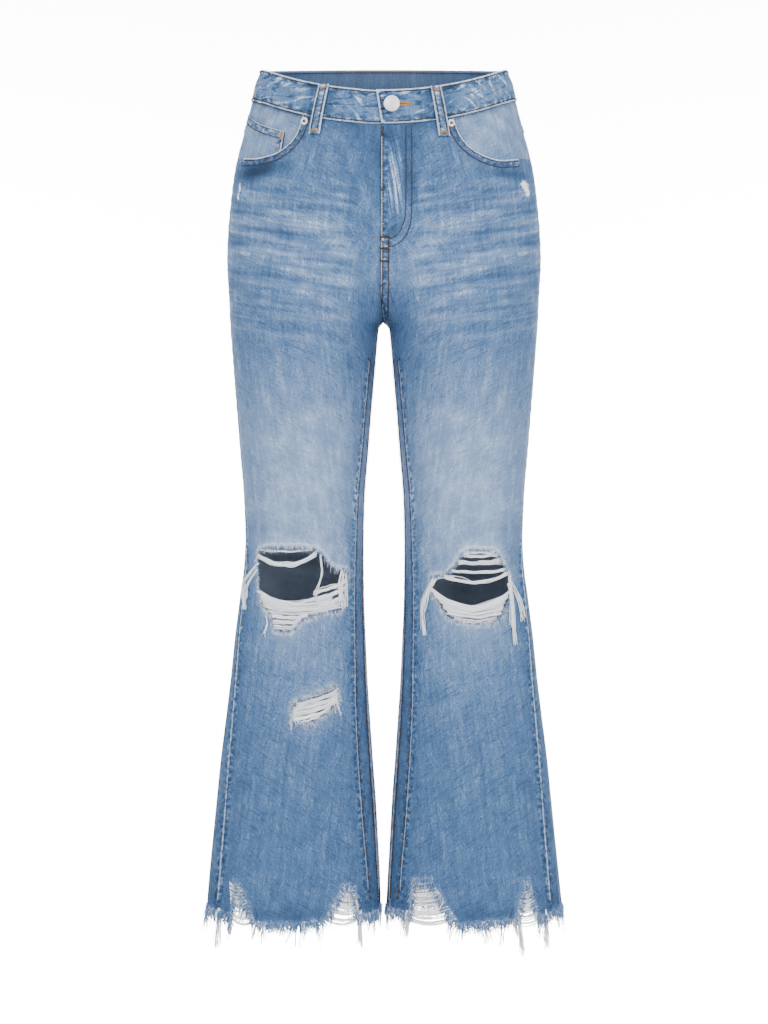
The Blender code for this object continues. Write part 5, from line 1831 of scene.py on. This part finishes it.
    def loop_places(self) -> list[float]:
        """Where the belt loops cross the waistband, round the waist."""
        ring = self.shape.ring
        found = [ring]
        for _, side, front, top_x, top_h, low_x, low_h in LOOPS:
            a = seen(self.shape, side, (top_x + low_x) / 2, (top_h + low_h) / 2, front)[0] + ring / 2
            found.append(a if side == 1 else 2 * ring - a)
        return found

    def loop(self, name: str, line: tuple[Flat, Flat], lay: Lay, width: float) -> None:
        """A belt loop: a strap over the waistband, bowed a little away from it."""
        (top_a, top_h), (low_a, low_h) = line

        def middle_at(h: Array) -> Array:
            """The strap's middle at each height."""
            return top_a + (low_a - top_a) * (top_h - h) / (top_h - low_h)

        def bowed(a: Array, h: Array, out: Array | float = 0.0) -> Array:
            """Places on the pattern as points in mm, a distance outside the piece's face."""
            share = np.clip((top_h - h) / (top_h - low_h), 0, 1)
            edge = np.clip(np.abs(a - middle_at(h)) / (width / 2), 0, 1)
            curl = 0.5 * (1 - edge**4) + 0.35 * bell(edge - 0.62, 0.16)
            ends = 0.5 * (bell(share - 0.07, 0.05) + bell(share - 0.93, 0.05))
            lift = np.asarray(out) + 2.9 + 1.7 * np.sin(math.pi * share) - 0.2 * share
            return lay(a, h, lift + curl - ends)

        def tone(a: Array, h: Array) -> Array:
            """How pale the piece is at each place."""
            return 0.72 + 0.1 * bell(a - top_a, width * 0.2)

        half = width / 2
        ring = np.array(
            [(top_a - half, top_h), (top_a + half, top_h), (low_a + half, low_h), (low_a - half, low_h)]
        )
        seams = [Seam(ring[[i, j]], 1.0, 0.0) for i, j in ((1, 2), (3, 0))]
        level = (top_h + low_h) / 2
        middle = middle_at(np.array([level]))[0]
        wide = real_length(bowed, (middle - half, level), (middle + half, level)) / width
        tall = real_length(bowed, (top_a, top_h), (low_a, low_h)) / (top_h - low_h)
        piece = self.tailor.cloth(
            f"{name}_strap", ring, bowed, tone, seams, 1.9, LOOP_CLOTH,
            uv=lambda a, h: pairs((a - middle_at(h)) * wide, h * tall),
        )
        self.sew_on(piece, name, "band")
        for share in (-0.28, 0.28):
            row = np.array([(top_a + share * width, top_h - 2), (low_a + share * width, low_h + 2)])
            self.thread.row(row, bowed, 0.3, pitch=3.0)
        for a, h in ((top_a, top_h - 4.0), (low_a, low_h + 4.0)):
            self.gold.tack((a, h), (width * 0.4, 0.0), bowed, 0.4, rows=12)

    def loops(self) -> None:
        """Five belt loops: two in front, two behind and one at the back seam."""
        for name, side, front, top_x, top_h, low_x, low_h in LOOPS:
            line = (seen(self.shape, side, top_x, top_h, front), seen(self.shape, side, low_x, low_h, front))
            places = np.array([line[0][0], line[0][0] + 1.0])
            ends = self.shape.surface(side, places, np.array([-30.0, -30.0]))
            width = LOOP_WIDE / float(np.linalg.norm(ends[1] - ends[0]))
            self.loop(name, line, self.tailor.leg(side), width)

        def across_back(a: Array, h: Array, out: Array | float = 0.0) -> Array:
            """Places on the pattern as points in mm, a distance outside the piece's face."""
            side = np.where(np.asarray(a) > 0, 1, -1)
            return self.shape.place(side, self.shape.ring / 2 - np.abs(a) - 1e-6, h, out)

        self.loop("belt_loop_back", ((0.0, 31.0), (0.0, -20.0)), across_back, LOOP_WIDE / 1.43)

    # Loose yarns

    def yarns_of(self, rip: Rip, chance: Chance) -> None:
        """The yarns across a rip, those that hang from it and the fuzz round its edge."""
        yarns = Yarns(self.shape, rip.side, chance)
        for bundle in rip.bundles:
            yarns.bundle(bundle)
        for count, line in rip.hanging:
            yarns.tail(count, line)
        ring = self.rip_ring(rip)
        yarns.fuzz(ring, 520, 4.2)
        yarns.fuzz(ring, 460, 4.2, outward=True, thick=1.2)
        piece = yarns.strands.build(f"{rip.node}_yarns", self.finishes["yarn"])
        self.dress(piece, "bare_yarn", rip.node)

    def fringe(self, side: int, front: bool, chance: Chance) -> None:
        """The yarns below a hem, across its notches and in clumps."""
        yarns = Yarns(self.shape, side, chance)
        hem, spans = self.hem(side, front)
        fine = resampled(hem, 0.6)
        count = 760 if front else 460
        spots = fine[chance.integers(2, len(fine) - 2, count)]
        clump = 0.5 + 0.5 * np.sin(spots[:, 0] / 4.3 + 2.0 * np.sin(spots[:, 0] / 17.0 + side))
        size = (5.0 + 17.0 * chance.random(count) ** 1.6) * (0.55 + 0.75 * clump)
        yarns.hang(spots, size, 0.9, 1.6)
        starts = [(span[0], 28.0) for span in spans]
        if front:
            starts = [(seen(self.shape, side, x, HEM_SIDE)[0], length) for x, length in TASSELS[side]]
        count = 22
        for a, length in starts:
            here = np.full(count, a) + chance.normal(0, 1.5, count)
            foot = pairs(here, self.hem_height(here, front) + 4)
            yarns.hang(foot, length * chance.uniform(0.7, 1.0, count), 0.06, 0.8)
        for span in spans:
            low = float(self.hem_height((span[0] + span[3]) / 2, front))
            yarns.across_notch(span, low)
        yarns.fuzz(hem, 2600 if front else 1500, 7.0, closed=False, thick=1.2, dyed=(0.97, 0.8))
        name = f"hem_fringe_{'front' if front else 'back'}_{Side(side).word}"
        self.dress(yarns.strands.build(f"{name}_yarns", self.finishes["yarn"]), "bare_yarn", name)

    # Metal

    def turned(self, name: str, rings: Sequence[Flat], at: Array, finish: str, steps: int) -> Piece:
        """A round piece: a disc that is extruded ring by ring, with soft edges.

        Args:
            name: the piece's name.
            rings: rows of radius and height in mm, from the lowest outer edge to the middle of the top.
            at: where it stands and a point straight outside that, in mm.
            finish: the finish's name.
            steps: the number of sides.

        Returns:
            The piece.
        """
        bpy.ops.object.select_all(action="DESELECT")
        bpy.ops.mesh.primitive_circle_add(vertices=steps, radius=rings[0][0] * MM, fill_type="NGON")
        made = bpy.context.object
        made.name = name
        bpy.ops.object.mode_set(mode="EDIT")
        bpy.ops.mesh.select_all(action="SELECT")
        for (before, low), (radius, height) in zip(rings[:-1], rings[1:]):
            bpy.ops.mesh.extrude_region_move(TRANSFORM_OT_translate={"value": (0, 0, (height - low) * MM)})
            share = radius / before
            bpy.ops.transform.resize(value=(share, share, 1.0))
        bpy.ops.mesh.select_all(action="SELECT")
        bpy.ops.mesh.normals_make_consistent(inside=False)
        bpy.ops.object.mode_set(mode="OBJECT")
        bevel = made.modifiers.new("soft edges", "BEVEL")
        bevel.width = 0.25 * MM
        bevel.segments = 2
        bpy.ops.object.modifier_apply(modifier=bevel.name)
        bpy.ops.object.shade_smooth()
        turn = Vector((at[1] - at[0]) / 5.0).to_track_quat("Z", "Y").to_matrix().to_4x4()
        made.data.transform(Matrix.Translation(Vector(at[0]) * MM) @ turn)
        made.data.materials.append(self.finishes[finish])
        return made

    def metal(self) -> None:
        """The button and the rivets."""
        middle, rise = self.button_place()
        at = self.ring_place(np.array([middle, middle]), np.array([rise, rise]), np.array([0.0, 5.0]))
        self.dress(self.turned("tack_button", BUTTON_RINGS, at, "metal", 48), "metal", "button")
        for name, side, x, z in RIVETS:
            a = seen(self.shape, side, x, z)[0]
            at = self.shape.place(side, np.array([a, a]), np.array([z, z]), np.array([0.3, 5.3]))
            self.dress(self.turned(f"{name}_head", RIVET_RINGS, at, "metal", 28), "metal", name)
            self.dress(self.turned(f"{name}_pin", PIN_RINGS, at, "dark metal", 20), "metal")

    def build(self) -> None:
        """Every piece of the garment."""
        for side in (1, -1):
            self.front_panel(side)
            self.back_pieces(side)
            self.pocket_pieces(side)
            for rip in self.rips[side]:
                self.yarns_of(rip, np.random.default_rng(50 + side + len(rip.bundles)))
            for front in (True, False):
                self.fringe(side, front, np.random.default_rng(90 + 3 * side + front))
        self.fly()
        self.waistband()
        self.loops()
        self.metal()
        rows = (
            ("topstitching", self.thread, "thread"), ("bar_tacks", self.gold, "gold"),
            ("worn_edges", self.worn, "worn edge"),
        )
        for name, stitcher, finish in rows:
            self.dress(stitcher.strands.build(name, self.finishes[finish]), "bare_yarn")


# The studio


@dataclass(frozen=True)
class Studio:
    """A pale seamless backdrop, soft lights and the camera."""

    distance: float = 3.6
    height: float = -0.4675
    lens: float = 115.06
    floor: float = -2.3
    wall: float = 5.8

    def backdrop(self) -> None:
        """The floor, curved up into a wall behind."""
        foot = self.wall - 1.2
        profile = [(-5.0, 0.0), (foot, 0.0)]
        turns = np.linspace(0.1, math.pi / 2, 14)
        profile += [(foot + 1.2 * math.sin(t), 1.2 - 1.2 * math.cos(t)) for t in turns]
        profile += [(self.wall, 5.0)]
        points = [(x, y, self.floor + z) for y, z in profile for x in (-5.0, 5.0)]
        faces = [[2 * i, 2 * i + 1, 2 * i + 3, 2 * i + 2] for i in range(len(profile) - 1)]
        finish = Plain("backdrop", (244, 244, 245), 0.95).build()
        made = add_mesh("backdrop", np.array(points) / MM, faces, finish)

    def light(
        self, name: str, spot: Sequence[float], size: float, power: float,
        target: Sequence[float] | None = None,
    ) -> None:
        """A soft square light that looks at the garment, or at the target."""
        data = bpy.data.lights.new(name, "AREA")
        data.shape = "SQUARE"
        data.size = size
        data.energy = power
        made = bpy.data.objects.new(name, data)
        made.location = spot
        aim = Vector(target or (0.0, 0.0, self.height)) - Vector(spot)
        made.rotation_euler = aim.to_track_quat("-Z", "Y").to_euler()
        bpy.context.scene.collection.objects.link(made)

    def build(self) -> None:
        """Sets the scene up round the garment."""
        self.backdrop()
        self.light("key", (-1.6, -3.0, 1.5), 1.8, 112.0)
        self.light("fill", (2.2, -2.6, 0.3), 2.0, 74.0)
        self.light("top", (0.0, -0.2, 2.2), 1.6, 52.0)
        for x in (-2.1, 2.1):
            self.light("wall light", (x, self.wall - 2.6, -0.5), 2.0, 1300.0, (x * 0.55, self.wall, -0.5))
        world = bpy.data.worlds.new("studio")
        world.use_nodes = True
        world.node_tree.nodes["Background"].inputs[0].default_value = (1.0, 1.0, 1.0, 1.0)
        world.node_tree.nodes["Background"].inputs[1].default_value = 1.0
        bpy.context.scene.world = world
        data = bpy.data.cameras.new("camera")
        data.lens = self.lens
        data.sensor_width = 36.0
        made = bpy.data.objects.new("camera", data)
        made.location = (0.0, -self.distance, self.height)
        made.rotation_euler = (math.pi / 2, 0.0, 0.0)
        bpy.context.scene.collection.objects.link(made)
        bpy.context.scene.camera = made


def main() -> None:
    """Builds the garment's looks and the studio, and notes the sizes."""
    logging.basicConfig(level=logging.INFO)
    Studio().build()
    finishes = {
        "denim": Denim().build(),
        "worn": Denim("worn denim", 0.45, (20.0, 4.2), (-0.35, 0.8, -0.15), 0.42).build(),
        "yarn": Yarn("bare yarn", (252, 253, 255), (38, 94, 148)).build(),
        "thread": Plain("brown thread", (70, 55, 45)).build(),
        "gold": Plain("gold thread", (188, 134, 44)).build(),
        "worn edge": Plain("worn edge", (168, 182, 204)).build(),
        "pocketing": Pocketing().build(),
        "metal": Metal().build(),
        "dark metal": Metal("rubbed dark metal", (62, 58, 56), (98, 92, 88)).build(),
    }
    Jeans(finishes).build()


if __name__ == "__main__":
    main()
